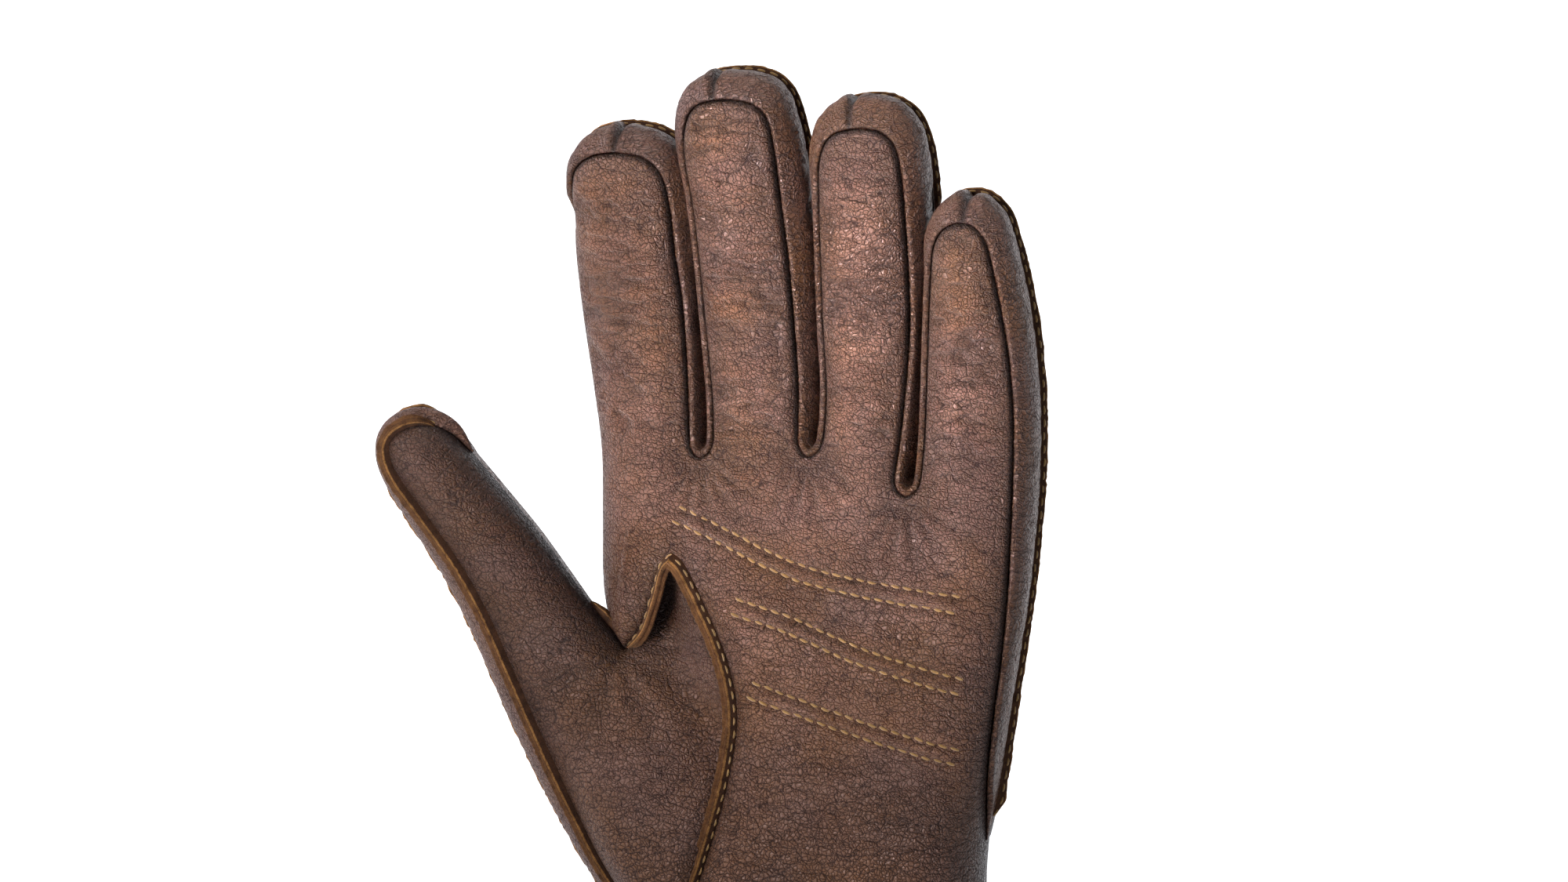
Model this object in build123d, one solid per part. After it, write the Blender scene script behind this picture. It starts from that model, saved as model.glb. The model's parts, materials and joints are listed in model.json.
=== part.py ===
"""A lined leather touchscreen glove for the left hand, in millimetres.

+Z runs from the cuff to the fingertips, the palm faces -Y and the thumb points to -X.
The origin is the centre of the cuff opening, at the hem's edge.
Each finger is a leather tube of a palm-side piece, a back piece and two side strips around
a fleece lining. It bends at its base and at its middle, where a fold of leather bridges the gap.
"""

from build123d import *
import math
import os

# Skins
LEATHER = 1.2
LINING = 1.5
FINGER_GAP = 0.7  # between leather and lining, where the touch patches lie
HAND_GAP = 1.2  # between leather and lining, where the wrist elastic lies
SEAM = 0.1  # clearance between neighbouring leather pieces

# Hand: height, centre x, half width, half depth
HAND_SECTIONS = [
    (0, 0, 48, 24),
    (44, -1, 38, 19),
    (68, -2.5, 39.5, 18.5),
    (92, -3, 45, 18),
    (120, 3.7, 45.8, 17),
    (133, 0, 50, 15.5),
    (160, 0, 50, 12.5),
]
HEM_HEIGHT = 9
HAND_TOP = 160
LITTLE_TOP = 154
LITTLE_SIDE_X = 21.1
HAND_SPLIT_Y = 7

# Joints: a parent ends a little under the hinge, and a child starts on a mitre above it
BASE_BEND_MAX = 60
MIDDLE_BEND_MAX = 70
THUMB_BASE_BEND_MAX = 40
THUMB_MIDDLE_BEND_MAX = 50
BASE_DROP = 8
MIDDLE_DROP = 9.6
BEND_ROOM = 0.6
FINGER_SPLIT_Y = 6

# Fingers: x of the base hinge, top of the hand there, lean, lengths of both segments,
# half widths of both segments, half depth
FINGERS = {
    "index": dict(x=-38.3, top=HAND_TOP, lean=-7.2, lengths=(27, 39), halves=(11.2, 12.0), depth=10.5),
    "middle": dict(x=-13.2, top=HAND_TOP, lean=-5.0, lengths=(30, 49.5), halves=(10.4, 11.9), depth=10.5),
    "ring": dict(x=10.0, top=HAND_TOP, lean=0.0, lengths=(29, 45.5), halves=(9.8, 11.2), depth=10.5),
    "little": dict(x=35.6, top=LITTLE_TOP, lean=-0.8, lengths=(23, 35), halves=(12.8, 11.4), depth=10.0),
}
LOWER_TILT = 4
UPPER_TILT = 16
TIP_ROUND = 7.5
TIP_SEAM_X = -2

# Thumb: its base hinge, lean, forward tilts and roll about its own length
THUMB_HINGE = (-60, -10.5, 116)
THUMB_LEAN = -28
THUMB_TILTS = (12, 20)
THUMB_ROLL = 20
THUMB_LENGTHS = (24, 31)
THUMB_HALVES = (15.0, 13.6)
THUMB_DEPTH = 12.0
# Thumb root, from its foot in the palm to the hinge: distance below the hinge, half width, half depth
THUMB_ROOT = [(-74, 8, 8), (-54, 19, 14), (-30, 21.5, 15.5), (-BASE_DROP, 17, 13)]

# Trims
ELASTIC = dict(low=40, high=54, thick=1.0)
TOUCH_PATCH = dict(width=14, length=16, thick=0.5)
THREAD_R = 0.35
# Stitched rows across the palm: x and z of both ends of each upper row
TUCK_ROWS = [((-30.4, 149.0), (36.2, 130.5)), ((-16.4, 129.5), (36.8, 113.1)), ((-12.3, 111.6), (35.2, 97.8))]
TUCK_SPACING = 3.3

FAR = 400


def rounded_tube(half_width, half_depth, low, high):
    """A solid rounded-rectangle column along local Z."""
    radius = min(half_width, half_depth) * 0.72
    section = Plane.XY.offset(low) * RectangleRounded(2 * half_width, 2 * half_depth, radius)
    return extrude(section, high - low)


def rounded_loft(sections, inset=0.0):
    """A ruled loft through rounded rectangles (height, centre x, half width, half depth)."""
    faces = []
    for height, centre_x, half_width, half_depth in sections:
        wide, deep = half_width - inset, half_depth - inset
        at = Plane.XY.offset(height) * Pos(centre_x, 0)
        faces.append(at * RectangleRounded(2 * wide, 2 * deep, 0.78 * min(wide, deep)))
    return loft(faces, ruled=True)


def prism(points):
    """A prism along X over a YZ outline."""
    return extrude(Plane.YZ * Polygon(*points, align=None), FAR, both=True)


def above(height):
    """Everything over a height."""
    return Pos(0, 0, height + FAR) * Box(3 * FAR, 2 * FAR, 2 * FAR)


def below(height):
    """Everything under a height."""
    return Pos(0, 0, height - FAR) * Box(3 * FAR, 2 * FAR, 2 * FAR)


def slab(y_low, y_high, x_low=-FAR, x_high=FAR):
    """A box over a range of Y, and of X where given, endless in Z."""
    middle = Pos((x_low + x_high) / 2, (y_low + y_high) / 2, 0)
    return middle * Box(x_high - x_low, y_high - y_low, 4 * FAR)


def child_region(drop, bend, tilt_step, half_depth, raise_by=0.0):
    """Where a bending segment may have material, in its own frame with the hinge at the origin."""
    mitre = math.tan(math.radians((bend + tilt_step) / 2))
    side_low = -math.sqrt((drop - BEND_ROOM) ** 2 - FINGER_SPLIT_Y**2)
    back_low = -drop + 1.3
    deep = half_depth + 4
    return prism(
        [
            (-deep, FAR),
            (-deep, deep * mitre + raise_by),
            (-FINGER_SPLIT_Y, FINGER_SPLIT_Y * mitre + raise_by),
            (-FINGER_SPLIT_Y, side_low + raise_by),
            (FINGER_SPLIT_Y, side_low + raise_by),
            (FINGER_SPLIT_Y, back_low + raise_by),
            (deep, back_low + raise_by),
            (deep, FAR),
        ]
    )


def skins(half_width, half_depth, low, high, closed):
    """The leather and lining shells of one segment; a closed one has a rounded tip."""

    def body(inset, top_inset):
        solid = rounded_tube(half_width - inset, half_depth - inset, low, high - top_inset)
        if not closed:
            return solid
        return fillet(solid.faces().sort_by(Axis.Z)[-1].edges(), TIP_ROUND - inset)

    def hollow(outer, thick):
        shell_cut = body(outer + thick, outer + thick if closed else -1)
        deeper = rounded_tube(half_width - outer - thick, half_depth - outer - thick, low - 1, low + 1)
        return body(outer, outer if closed else 0) - shell_cut - deeper

    return hollow(0, LEATHER), hollow(LEATHER + FINGER_GAP, LINING)


def as_part(shape):
    """One compound of the shape's solids, whatever the operation returned."""
    return Compound(children=[s for s in shape.solids() if s.volume > 0.5])


def segment(name, part_of, place, cut_place, start, end, size, joint, nodes):
    """Adds one segment's leather pieces and lining. Returns the leather fold under it.

    place is the tube's frame and cut_place the hinge's. start is the space over the parent's end, and
    end the space under this segment's own end, or None at the closed tip.
    """
    half_width, half_depth, length = size
    drop, bend, tilt_step = joint
    closed = end is None
    leather, lining = skins(half_width, half_depth, -drop - 6, length, closed)
    region = cut_place * child_region(drop, bend, tilt_step, half_depth)
    if not closed:
        region = region & end
    leather, lining = place * leather, place * lining
    kept = leather & region
    split, s = FINGER_SPLIT_Y, SEAM / 2
    nodes[f"{name}_front_{part_of}"] = kept & (place * slab(-FAR, -split - s))
    nodes[f"{name}_back_{part_of}"] = kept & (place * slab(split + s, FAR))
    seam_x = TIP_SEAM_X if closed else 0
    sides = [slab(-split + s, split - s, -FAR, seam_x - s), slab(-split + s, split - s, seam_x + s, FAR)]
    nodes[f"{name}_side_strips_{part_of}"] = Compound(
        children=[solid for side in sides for solid in (kept & (place * side)).solids()]
    )
    nodes[f"{name}_lining_{part_of}"] = lining & region
    over_fold = cut_place * child_region(drop, bend, tilt_step, half_depth, -SEAM)
    return (leather - over_fold) & start


def finger(name, nodes, folds):
    """A finger of two segments. Returns its hinges as name: position."""
    f = FINGERS[name]
    base = (f["x"], 0, f["top"] + BASE_DROP)
    lower, upper = f["lengths"]
    lower_place = Location(base, (LOWER_TILT, f["lean"], 0))
    middle = (lower_place * Pos(0, 0, lower)).position
    upper_place = Location(middle, (UPPER_TILT, f["lean"], 0))
    lower_cut = Location(middle, (LOWER_TILT, 0, 0))
    folds.append(
        segment(
            name,
            "lower",
            lower_place,
            Location(base, (LOWER_TILT, 0, 0)),
            above(f["top"] + SEAM),
            lower_cut * below(-MIDDLE_DROP),
            (f["halves"][0], f["depth"], lower),
            (BASE_DROP, BASE_BEND_MAX, LOWER_TILT),
            nodes,
        )
    )
    nodes[f"{name}_middle_fold"] = segment(
        name,
        "upper",
        upper_place,
        Location(middle, (UPPER_TILT, 0, 0)),
        lower_cut * above(SEAM - MIDDLE_DROP),
        None,
        (f["halves"][1], f["depth"], upper),
        (MIDDLE_DROP, MIDDLE_BEND_MAX, UPPER_TILT - LOWER_TILT),
        nodes,
    )
    return {f"{name}_base_bend": base, f"{name}_middle_bend": tuple(middle)}


def thumb_frames():
    """The frame of the thumb's root and lower segment, that of its upper one, and its middle hinge."""
    root = Location(THUMB_HINGE, (THUMB_TILTS[0], THUMB_LEAN, THUMB_ROLL))
    middle = root * Pos(0, 0, THUMB_LENGTHS[0])
    return root, middle * Rotation(THUMB_TILTS[1] - THUMB_TILTS[0], 0, 0), middle


def thumb(nodes, folds):
    """The thumb's two segments. Returns its hinges."""
    root, bent, middle = thumb_frames()
    base_fold = segment(
        "thumb",
        "lower",
        root,
        root,
        root * above(SEAM - BASE_DROP),
        middle * below(-MIDDLE_DROP),
        (THUMB_HALVES[0], THUMB_DEPTH, THUMB_LENGTHS[0]),
        (BASE_DROP, THUMB_BASE_BEND_MAX, 0),
        nodes,
    )
    folds.append(base_fold - rounded_loft(HAND_SECTIONS, -SEAM))
    nodes["thumb_middle_fold"] = segment(
        "thumb",
        "upper",
        bent,
        bent,
        middle * above(SEAM - MIDDLE_DROP),
        None,
        (THUMB_HALVES[1], THUMB_DEPTH, THUMB_LENGTHS[1]),
        (MIDDLE_DROP, THUMB_MIDDLE_BEND_MAX, THUMB_TILTS[1] - THUMB_TILTS[0]),
        nodes,
    )
    return {"thumb_base_bend": THUMB_HINGE, "thumb_middle_bend": tuple(middle.position)}


def thumb_root_solid(inset=0.0, foot=0.0, past=0.0):
    """The thumb's root as a solid; foot lifts its closed end, and past runs it past its open one."""
    sections = [(s + (foot if i == 0 else 0), 0, a, b) for i, (s, a, b) in enumerate(THUMB_ROOT)]
    solid = rounded_loft(sections, inset)
    if past:
        _, half_width, half_depth = THUMB_ROOT[-1]
        solid = solid + rounded_tube(half_width - inset, half_depth - inset, -BASE_DROP - 0.01, past)
    return thumb_frames()[0] * solid


def little_step():
    """The space over the hand on the little finger's side, where its top is lower."""
    return Pos(LITTLE_SIDE_X + FAR, 0, LITTLE_TOP + FAR) * Box(2 * FAR, 2 * FAR, 2 * FAR)


def hand(nodes):
    """The hand's leather panels, side strips, thumb root and lining."""
    above_hem = above(HEM_HEIGHT + SEAM)
    outer = rounded_loft(HAND_SECTIONS)
    root_cavity = thumb_root_solid(LEATHER, LEATHER, 4)
    leather = ((outer - rounded_loft(HAND_SECTIONS, LEATHER)) & above_hem) - little_step() - root_cavity
    y, s = HAND_SPLIT_Y, SEAM / 2
    nodes["palm_panel"] = leather & slab(-FAR, -y - s)
    nodes["back_panel"] = leather & slab(y + s, FAR)
    nodes["outer_side_strip"] = leather & slab(-y + s, y - s, 0, FAR)
    nodes["inner_side_strip"] = leather & slab(-y + s, y - s, -FAR, 0)

    root_shell = (thumb_root_solid() - root_cavity) - rounded_loft(HAND_SECTIONS, -SEAM)
    frame = thumb_frames()[0]
    nodes["thumb_root_front"] = root_shell & (frame * slab(-FAR, -s))
    nodes["thumb_root_back"] = root_shell & (frame * slab(s, FAR))

    lining_at = LEATHER + HAND_GAP
    lined = rounded_loft(HAND_SECTIONS, lining_at)
    lining = (lined - rounded_loft(HAND_SECTIONS, lining_at + LINING)) & above_hem
    nodes["hand_lining"] = lining - little_step() - thumb_root_solid(lining_at, lining_at, 4)


def cuff(nodes):
    """The turned hem round the opening, and the elastic inside the wrist's back."""
    thick = LEATHER + HAND_GAP + LINING
    nodes["cuff_hem"] = (rounded_loft(HAND_SECTIONS) - rounded_loft(HAND_SECTIONS, thick)) & below(HEM_HEIGHT)
    start = LEATHER + SEAM
    band = rounded_loft(HAND_SECTIONS, start) - rounded_loft(HAND_SECTIONS, start + ELASTIC["thick"])
    nodes["wrist_elastic"] = band & above(ELASTIC["low"]) & below(ELASTIC["high"]) & slab(2, FAR)


def crotch_gussets(nodes):
    """The leather between the fingers' roots, with a hole for each finger."""
    section = Plane.XY * RectangleRounded(2 * HAND_SECTIONS[-1][2], 2 * HAND_SECTIONS[-1][3], 9)
    wall_x = LITTLE_SIDE_X + SEAM
    high = (Pos(0, 0, HAND_TOP + SEAM) * extrude(section, LEATHER)) & slab(-FAR, FAR, -FAR, wall_x + 1)
    low = (Pos(0, 0, LITTLE_TOP + SEAM) * extrude(section, LEATHER)) & slab(-FAR, FAR, wall_x, FAR)
    step = HAND_TOP - LITTLE_TOP + LEATHER
    half_depth = FINGERS["ring"]["depth"]
    wall = Pos(wall_x + 0.5, 0, LITTLE_TOP + SEAM + step / 2) * Box(1, 2 * half_depth, step)
    gussets = high + low + wall
    for f in FINGERS.values():
        place = Location((f["x"], 0, f["top"] + BASE_DROP), (LOWER_TILT, f["lean"], 0))
        gussets = gussets - place * rounded_tube(f["halves"][0] + SEAM, f["depth"] + SEAM, -30, 0)
    nodes["crotch_gussets"] = gussets


def palm_depth(z):
    """Depth of the palm's outer face at a height."""
    for (z0, _, _, b0), (z1, _, _, b1) in zip(HAND_SECTIONS, HAND_SECTIONS[1:]):
        if z0 <= z <= z1:
            return b0 + (b1 - b0) * (z - z0) / (z1 - z0)
    return HAND_SECTIONS[-1][3]


def palm_stitching(nodes):
    """Six rows of thread that hold three raised tucks across the palm."""
    kink = 120
    rods = []
    for (x0, z0), (x1, z1) in TUCK_ROWS:
        for drop in (0, TUCK_SPACING):
            ends = [(x0, z0 - drop), (x1, z1 - drop)]
            if ends[0][1] > kink > ends[1][1]:
                share = (ends[0][1] - kink) / (ends[0][1] - ends[1][1])
                ends.insert(1, (ends[0][0] + share * (ends[1][0] - ends[0][0]), kink))
            points = [Vector(x, -palm_depth(z) - THREAD_R - SEAM, z) for x, z in ends]
            rod = None
            for a, b in zip(points, points[1:]):
                run = Plane(origin=a, z_dir=b - a) * extrude(Circle(THREAD_R), (b - a).length)
                rod = run if rod is None else rod + run
            if len(points) == 3:
                rod = rod + Pos(*points[1]) * Sphere(THREAD_R)
            rods += rod.solids()
    nodes["palm_stitching"] = Compound(children=rods)


def touch_patches(nodes):
    """Conductive patches behind the palm-side leather of the index finger's and thumb's tips."""
    f = FINGERS["index"]
    base = Location((f["x"], 0, f["top"] + BASE_DROP), (LOWER_TILT, f["lean"], 0))
    middle = (base * Pos(0, 0, f["lengths"][0])).position
    tips = {
        "index": (Location(middle, (UPPER_TILT, f["lean"], 0)), f["halves"][1], f["depth"], f["lengths"][1]),
        "thumb": (thumb_frames()[1], THUMB_HALVES[1], THUMB_DEPTH, THUMB_LENGTHS[1]),
    }
    inset, thick, width = LEATHER + SEAM, TOUCH_PATCH["thick"], TOUCH_PATCH["width"]
    for name, (place, half_width, half_depth, reach) in tips.items():
        high = reach - TIP_ROUND - 0.5
        low = high - TOUCH_PATCH["length"]
        outer = rounded_tube(half_width - inset, half_depth - inset, low, high)
        inner = rounded_tube(half_width - inset - thick, half_depth - inset - thick, low - 1, high + 1)
        nodes[f"{name}_touch_patch"] = place * ((outer - inner) & slab(-FAR, 0, -width / 2, width / 2))


def main():
    nodes, folds = {}, []
    hand(nodes)
    cuff(nodes)
    crotch_gussets(nodes)
    palm_stitching(nodes)
    hinges = {}
    for name in FINGERS:
        hinges.update(finger(name, nodes, folds))
    hinges.update(thumb(nodes, folds))
    touch_patches(nodes)
    nodes["thumb_base_fold"] = folds.pop()
    nodes["finger_base_folds"] = Compound(children=[s for fold in folds for s in fold.solids()])
    os.makedirs("parts", exist_ok=True)
    for name, shape in nodes.items():
        export_step(as_part(shape), f"parts/{name}.step")
    for name, at in hinges.items():
        print(name, [round(v, 3) for v in at])
    print("thumb axis", tuple(Plane(thumb_frames()[0]).x_dir))


main()
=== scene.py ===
import json
import math
import bpy
import numpy as np
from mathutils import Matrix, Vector, geometry, kdtree


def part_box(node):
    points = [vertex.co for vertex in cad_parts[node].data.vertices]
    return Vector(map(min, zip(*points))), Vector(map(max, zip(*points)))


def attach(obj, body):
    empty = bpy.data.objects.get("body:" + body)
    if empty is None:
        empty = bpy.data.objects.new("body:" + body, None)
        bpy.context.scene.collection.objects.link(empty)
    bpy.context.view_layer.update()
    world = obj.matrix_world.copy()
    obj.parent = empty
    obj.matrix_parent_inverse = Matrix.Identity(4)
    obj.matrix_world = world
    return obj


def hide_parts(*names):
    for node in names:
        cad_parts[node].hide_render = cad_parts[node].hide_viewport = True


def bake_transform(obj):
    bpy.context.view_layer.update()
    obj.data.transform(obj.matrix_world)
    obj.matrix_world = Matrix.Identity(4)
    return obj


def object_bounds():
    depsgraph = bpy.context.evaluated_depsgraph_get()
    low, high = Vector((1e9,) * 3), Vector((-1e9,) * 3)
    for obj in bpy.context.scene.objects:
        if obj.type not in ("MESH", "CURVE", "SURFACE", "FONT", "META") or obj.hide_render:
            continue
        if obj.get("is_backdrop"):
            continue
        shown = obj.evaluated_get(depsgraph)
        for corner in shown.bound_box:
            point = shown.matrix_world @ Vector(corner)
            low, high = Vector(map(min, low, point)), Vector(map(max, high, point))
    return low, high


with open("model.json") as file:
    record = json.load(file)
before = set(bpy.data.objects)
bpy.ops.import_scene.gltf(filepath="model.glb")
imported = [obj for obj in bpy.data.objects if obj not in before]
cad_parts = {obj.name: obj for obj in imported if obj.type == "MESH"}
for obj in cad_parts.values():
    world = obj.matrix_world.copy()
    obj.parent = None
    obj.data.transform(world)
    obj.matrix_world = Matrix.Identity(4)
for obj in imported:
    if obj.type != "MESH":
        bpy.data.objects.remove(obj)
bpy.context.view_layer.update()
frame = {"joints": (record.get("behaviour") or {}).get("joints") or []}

# The glove's surface is worked out flat, in millimetres, as (x, z) with a depth: + in front of the hand's
# middle plane, towards -Y. Leather pieces are height fields over their cut outlines, rolled under at the
# seams. The fingers then curl forward about the frame's own hinges.

MM = 0.001
HINGE = {j["name"]: np.array(j["pos_m"]) / MM for j in frame["joints"]}
FINGERS = ("index", "middle", "ring", "little")
STEP = 0.75
GRID = 1.15


# ---------------------------------------------------------------- noise and curves

rng = np.random.default_rng(11)
PERM = np.concatenate([rng.permutation(256)] * 2)
GRAD = rng.normal(size=(256, 3))
GRAD /= np.linalg.norm(GRAD, axis=1)[:, None]


def noise(p):
    """Gradient noise, about -1 to 1, at each row of p."""
    p = np.asarray(p, float)
    cell = np.floor(p).astype(int)
    f = p - cell
    u = f * f * f * (f * (f * 6 - 15) + 10)
    out = np.zeros(len(p))
    for corner in range(8):
        d = np.array([corner & 1, corner >> 1 & 1, corner >> 2 & 1])
        c = (cell + d) & 255
        g = GRAD[PERM[PERM[PERM[c[:, 0]] + c[:, 1]] + c[:, 2]]]
        w = np.prod(np.where(d == 1, u, 1 - u), axis=1)
        out += w * np.sum(g * (f - d), axis=1)
    return out * 1.7


def field(u, v, seed):
    """A flat slice of the noise."""
    return noise(np.stack([u, v, np.full_like(u, seed)], 1))


def gauss(v):
    return np.exp(-(v**2))


def creases(x, z, sx, sz, seed, sharp=3.0):
    """Thin valleys from 0 to 1 where a stretched noise crosses zero."""
    p = np.stack([x * sx, z * sz, np.full_like(x, seed)], 1)
    warp = noise(p * 0.6 + 9)
    return np.clip(1 - np.abs(noise(p + 0.5 * warp[:, None])) * sharp, 0, 1) ** 1.5


def smooth(rows, step=STEP, closed=False):
    """A Catmull-Rom run through rows of numbers, the first two being x and z, at even spacing."""
    p = np.array(rows, float)
    if closed:
        p = np.vstack([p[-1], p, p[0], p[1]])
    else:
        p = np.vstack([2 * p[0] - p[1], p, 2 * p[-1] - p[-2]])
    t = np.linspace(0, 1, 25)[:-1, None]
    out = []
    for a, b, c, d in zip(p, p[1:], p[2:], p[3:]):
        out.append(0.5 * (2 * b + (c - a) * t + (2 * a - 5 * b + 4 * c - d) * t**2 + (3 * b - a - 3 * c + d) * t**3))
    out = np.vstack(out + [p[-2][None]])
    run = np.concatenate([[0], np.cumsum(np.hypot(*np.diff(out[:, :2], axis=0).T))])
    even = np.linspace(0, run[-1], max(3, int(run[-1] / step) + 1))
    return np.stack([np.interp(even, run, out[:, k]) for k in range(out.shape[1])], 1)


def normals_2d(xz):
    """Unit normals to the right of a run's direction."""
    d = np.gradient(xz, axis=0)
    d /= np.maximum(np.linalg.norm(d, axis=1), 1e-9)[:, None]
    return np.stack([d[:, 1], -d[:, 0]], 1)


def ramp(v, a, b):
    t = np.clip((v - a) / (b - a), 0, 1)
    return t * t * (3 - 2 * t)


# ---------------------------------------------------------------- the fingers' curl and which piece is where

SWAY = 0.24
CROTCH = {f: (154.0 if f == "little" else 160.0) for f in FINGERS}
TIP = {f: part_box(f"{f}_back_upper")[1].z / MM for f in FINGERS}
LEAN = {}
CURL = {}
for f in FINGERS:
    low, mid = HINGE[f"{f}_base_bend"], HINGE[f"{f}_middle_bend"]
    LEAN[f] = (mid[0] - low[0]) / (mid[2] - low[2])
    z = np.arange(CROTCH[f], TIP[f] + 30, 0.5)
    stops = [CROTCH[f], low[2] + 2, mid[2] - 8, mid[2] + 8, TIP[f]]
    phi = np.radians(np.interp(z, stops, [0, 4, 5, 15, 22]))
    CURL[f] = (z, phi, -np.concatenate([[0], np.cumsum(np.tan(phi[:-1]) * 0.5)]))


def which_finger(x, z):
    """The finger that each flat point is nearest to."""
    gap = np.stack([np.abs(x - HINGE[f"{f}_base_bend"][0] - LEAN[f]
        * (z - HINGE[f"{f}_base_bend"][2])) for f in FINGERS])
    return gap.argmin(0)


def curled(x, z, depth):
    """Flat points with their depth to points of the worn shape, in millimetres."""
    return curled_as(x, z, x, z, depth)


def cut_heights(f):
    """Flat heights where a finger's pieces meet: hand, lower and upper."""
    low, mid = HINGE[f"{f}_base_bend"][2], HINGE[f"{f}_middle_bend"][2]
    return CROTCH[f] + 0.5, (low + 9 + mid - 11) / 2


def hand_region(x, z):
    """0 on the hand, 1 + 2i on finger i's lower part and 2 + 2i on its upper one."""
    own = which_finger(x, z)
    region = np.zeros(len(x), int)
    for i, f in enumerate(FINGERS):
        low, high = cut_heights(f)
        region[(own == i) & (z > low)] = 1 + 2 * i
        region[(own == i) & (z > high)] = 2 + 2 * i
    return region


HAND_NAMES = ["hand"] + [f"{f}_{part}" for f in FINGERS for part in ("lower", "upper")]
THUMB_LEAN = math.radians(28)
THUMB_AT = HINGE["thumb_base_bend"]
ALONG = np.array([-math.sin(THUMB_LEAN), math.cos(THUMB_LEAN)])
ACROSS = np.array([math.cos(THUMB_LEAN), math.sin(THUMB_LEAN)])
THUMB_TURN = 24.0
THUMB_NAMES = ["hand", "thumb_lower", "thumb_upper"]


def thumb_flat(a, p):
    """x and z of a point a mm along the thumb from its base hinge and p mm across it."""
    return THUMB_AT[0] + a * ALONG[0] + p * ACROSS[0], THUMB_AT[2] + a * ALONG[1] + p * ACROSS[1]


def thumb_local(x, z):
    dx, dz = x - THUMB_AT[0], z - THUMB_AT[2]
    return dx * ALONG[0] + dz * ALONG[1], dx * ACROSS[0] + dz * ACROSS[1]


def thumb_core(a):
    """Depth of the thumb's own axis."""
    return 10.5 + 0.21 * a + 0.17 * np.maximum(a - THUMB_TURN, 0)


def thumb_region(x, z):
    a, p = thumb_local(x, z)
    return np.where(a > 12.2, 2, np.where(a - 0.25 * (p - 6) > -8.5, 1, 0))


def blend_ends(name):
    """The two bodies a piece bends between and the points where it starts and stops bending."""
    digit, part = name.rsplit("_", 1)
    base, mid = HINGE[f"{digit}_base_bend"] * MM, HINGE[f"{digit}_middle_bend"] * MM
    if digit == "thumb":
        up = np.array([ALONG[0], -0.22, ALONG[1]])
        up /= np.linalg.norm(up)
        if part == "lower":
            return "hand", "thumb_lower", base - up * 9 * MM, base + up * 10.5 * MM
        return "thumb_lower", "thumb_upper", mid - up * 10.5 * MM, mid + up * 10.5 * MM
    up = np.array([0, 0, 1.0])
    if part == "lower":
        return "hand", f"{digit}_lower", base - up * 8 * MM, base + up * 9 * MM
    return f"{digit}_lower", f"{digit}_upper", mid - up * 11 * MM, mid + up * 11 * MM


# ---------------------------------------------------------------- materials


def material(name):
    m = bpy.data.materials.new(name)
    m.use_nodes = True
    m.node_tree.nodes.clear()
    out = m.node_tree.nodes.new("ShaderNodeOutputMaterial")
    shader = m.node_tree.nodes.new("ShaderNodeBsdfPrincipled")
    m.node_tree.links.new(shader.outputs[0], out.inputs[0])
    return m, shader


class Net:
    """Short ways to add nodes to a material."""

    def __init__(self, m):
        self.tree = m.node_tree

    def add(self, kind, **inputs):
        node = self.tree.nodes.new("ShaderNode" + kind)
        for key, value in inputs.items():
            slot = key.replace("_", " ")
            if hasattr(node, key):
                setattr(node, key, value)
            elif hasattr(value, "is_output"):
                self.tree.links.new(value, node.inputs[slot])
            else:
                node.inputs[slot].default_value = value
        return node

    def math(self, operation, a, b=0.0, clamp=False):
        node = self.add("Math", operation=operation, use_clamp=clamp)
        for i, v in enumerate((a, b)):
            if hasattr(v, "is_output"):
                self.tree.links.new(v, node.inputs[i])
            else:
                node.inputs[i].default_value = v
        return node.outputs[0]

    def ramp(self, value, *stops):
        node = self.add("ValToRGB")
        self.tree.links.new(value, node.inputs[0])
        items = node.color_ramp.elements
        while len(items) < len(stops):
            items.new(0.5)
        for item, (at, colour) in zip(items, stops):
            item.position = at
            item.color = (*colour, 1)
        return node.outputs[0]

    def scaled(self, vector, scale):
        node = self.add("VectorMath", operation="MULTIPLY")
        self.tree.links.new(vector, node.inputs[0])
        node.inputs[1].default_value = scale
        return node.outputs[0]

    def moved(self, vector, by, amount):
        node = self.add("VectorMath", operation="MULTIPLY_ADD")
        self.tree.links.new(by, node.inputs[0])
        node.inputs[1].default_value = (amount,) * 3
        self.tree.links.new(vector, node.inputs[2])
        return node.outputs[0]

    def mix(self, factor, a, b, blend="MIX"):
        node = self.add("Mix", data_type="RGBA", blend_type=blend)
        for i, v in ((0, factor), (6, a), (7, b)):
            if hasattr(v, "is_output"):
                self.tree.links.new(v, node.inputs[i])
            else:
                node.inputs[i].default_value = v if i == 0 else (*v, 1)
        return node.outputs[2]


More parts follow.
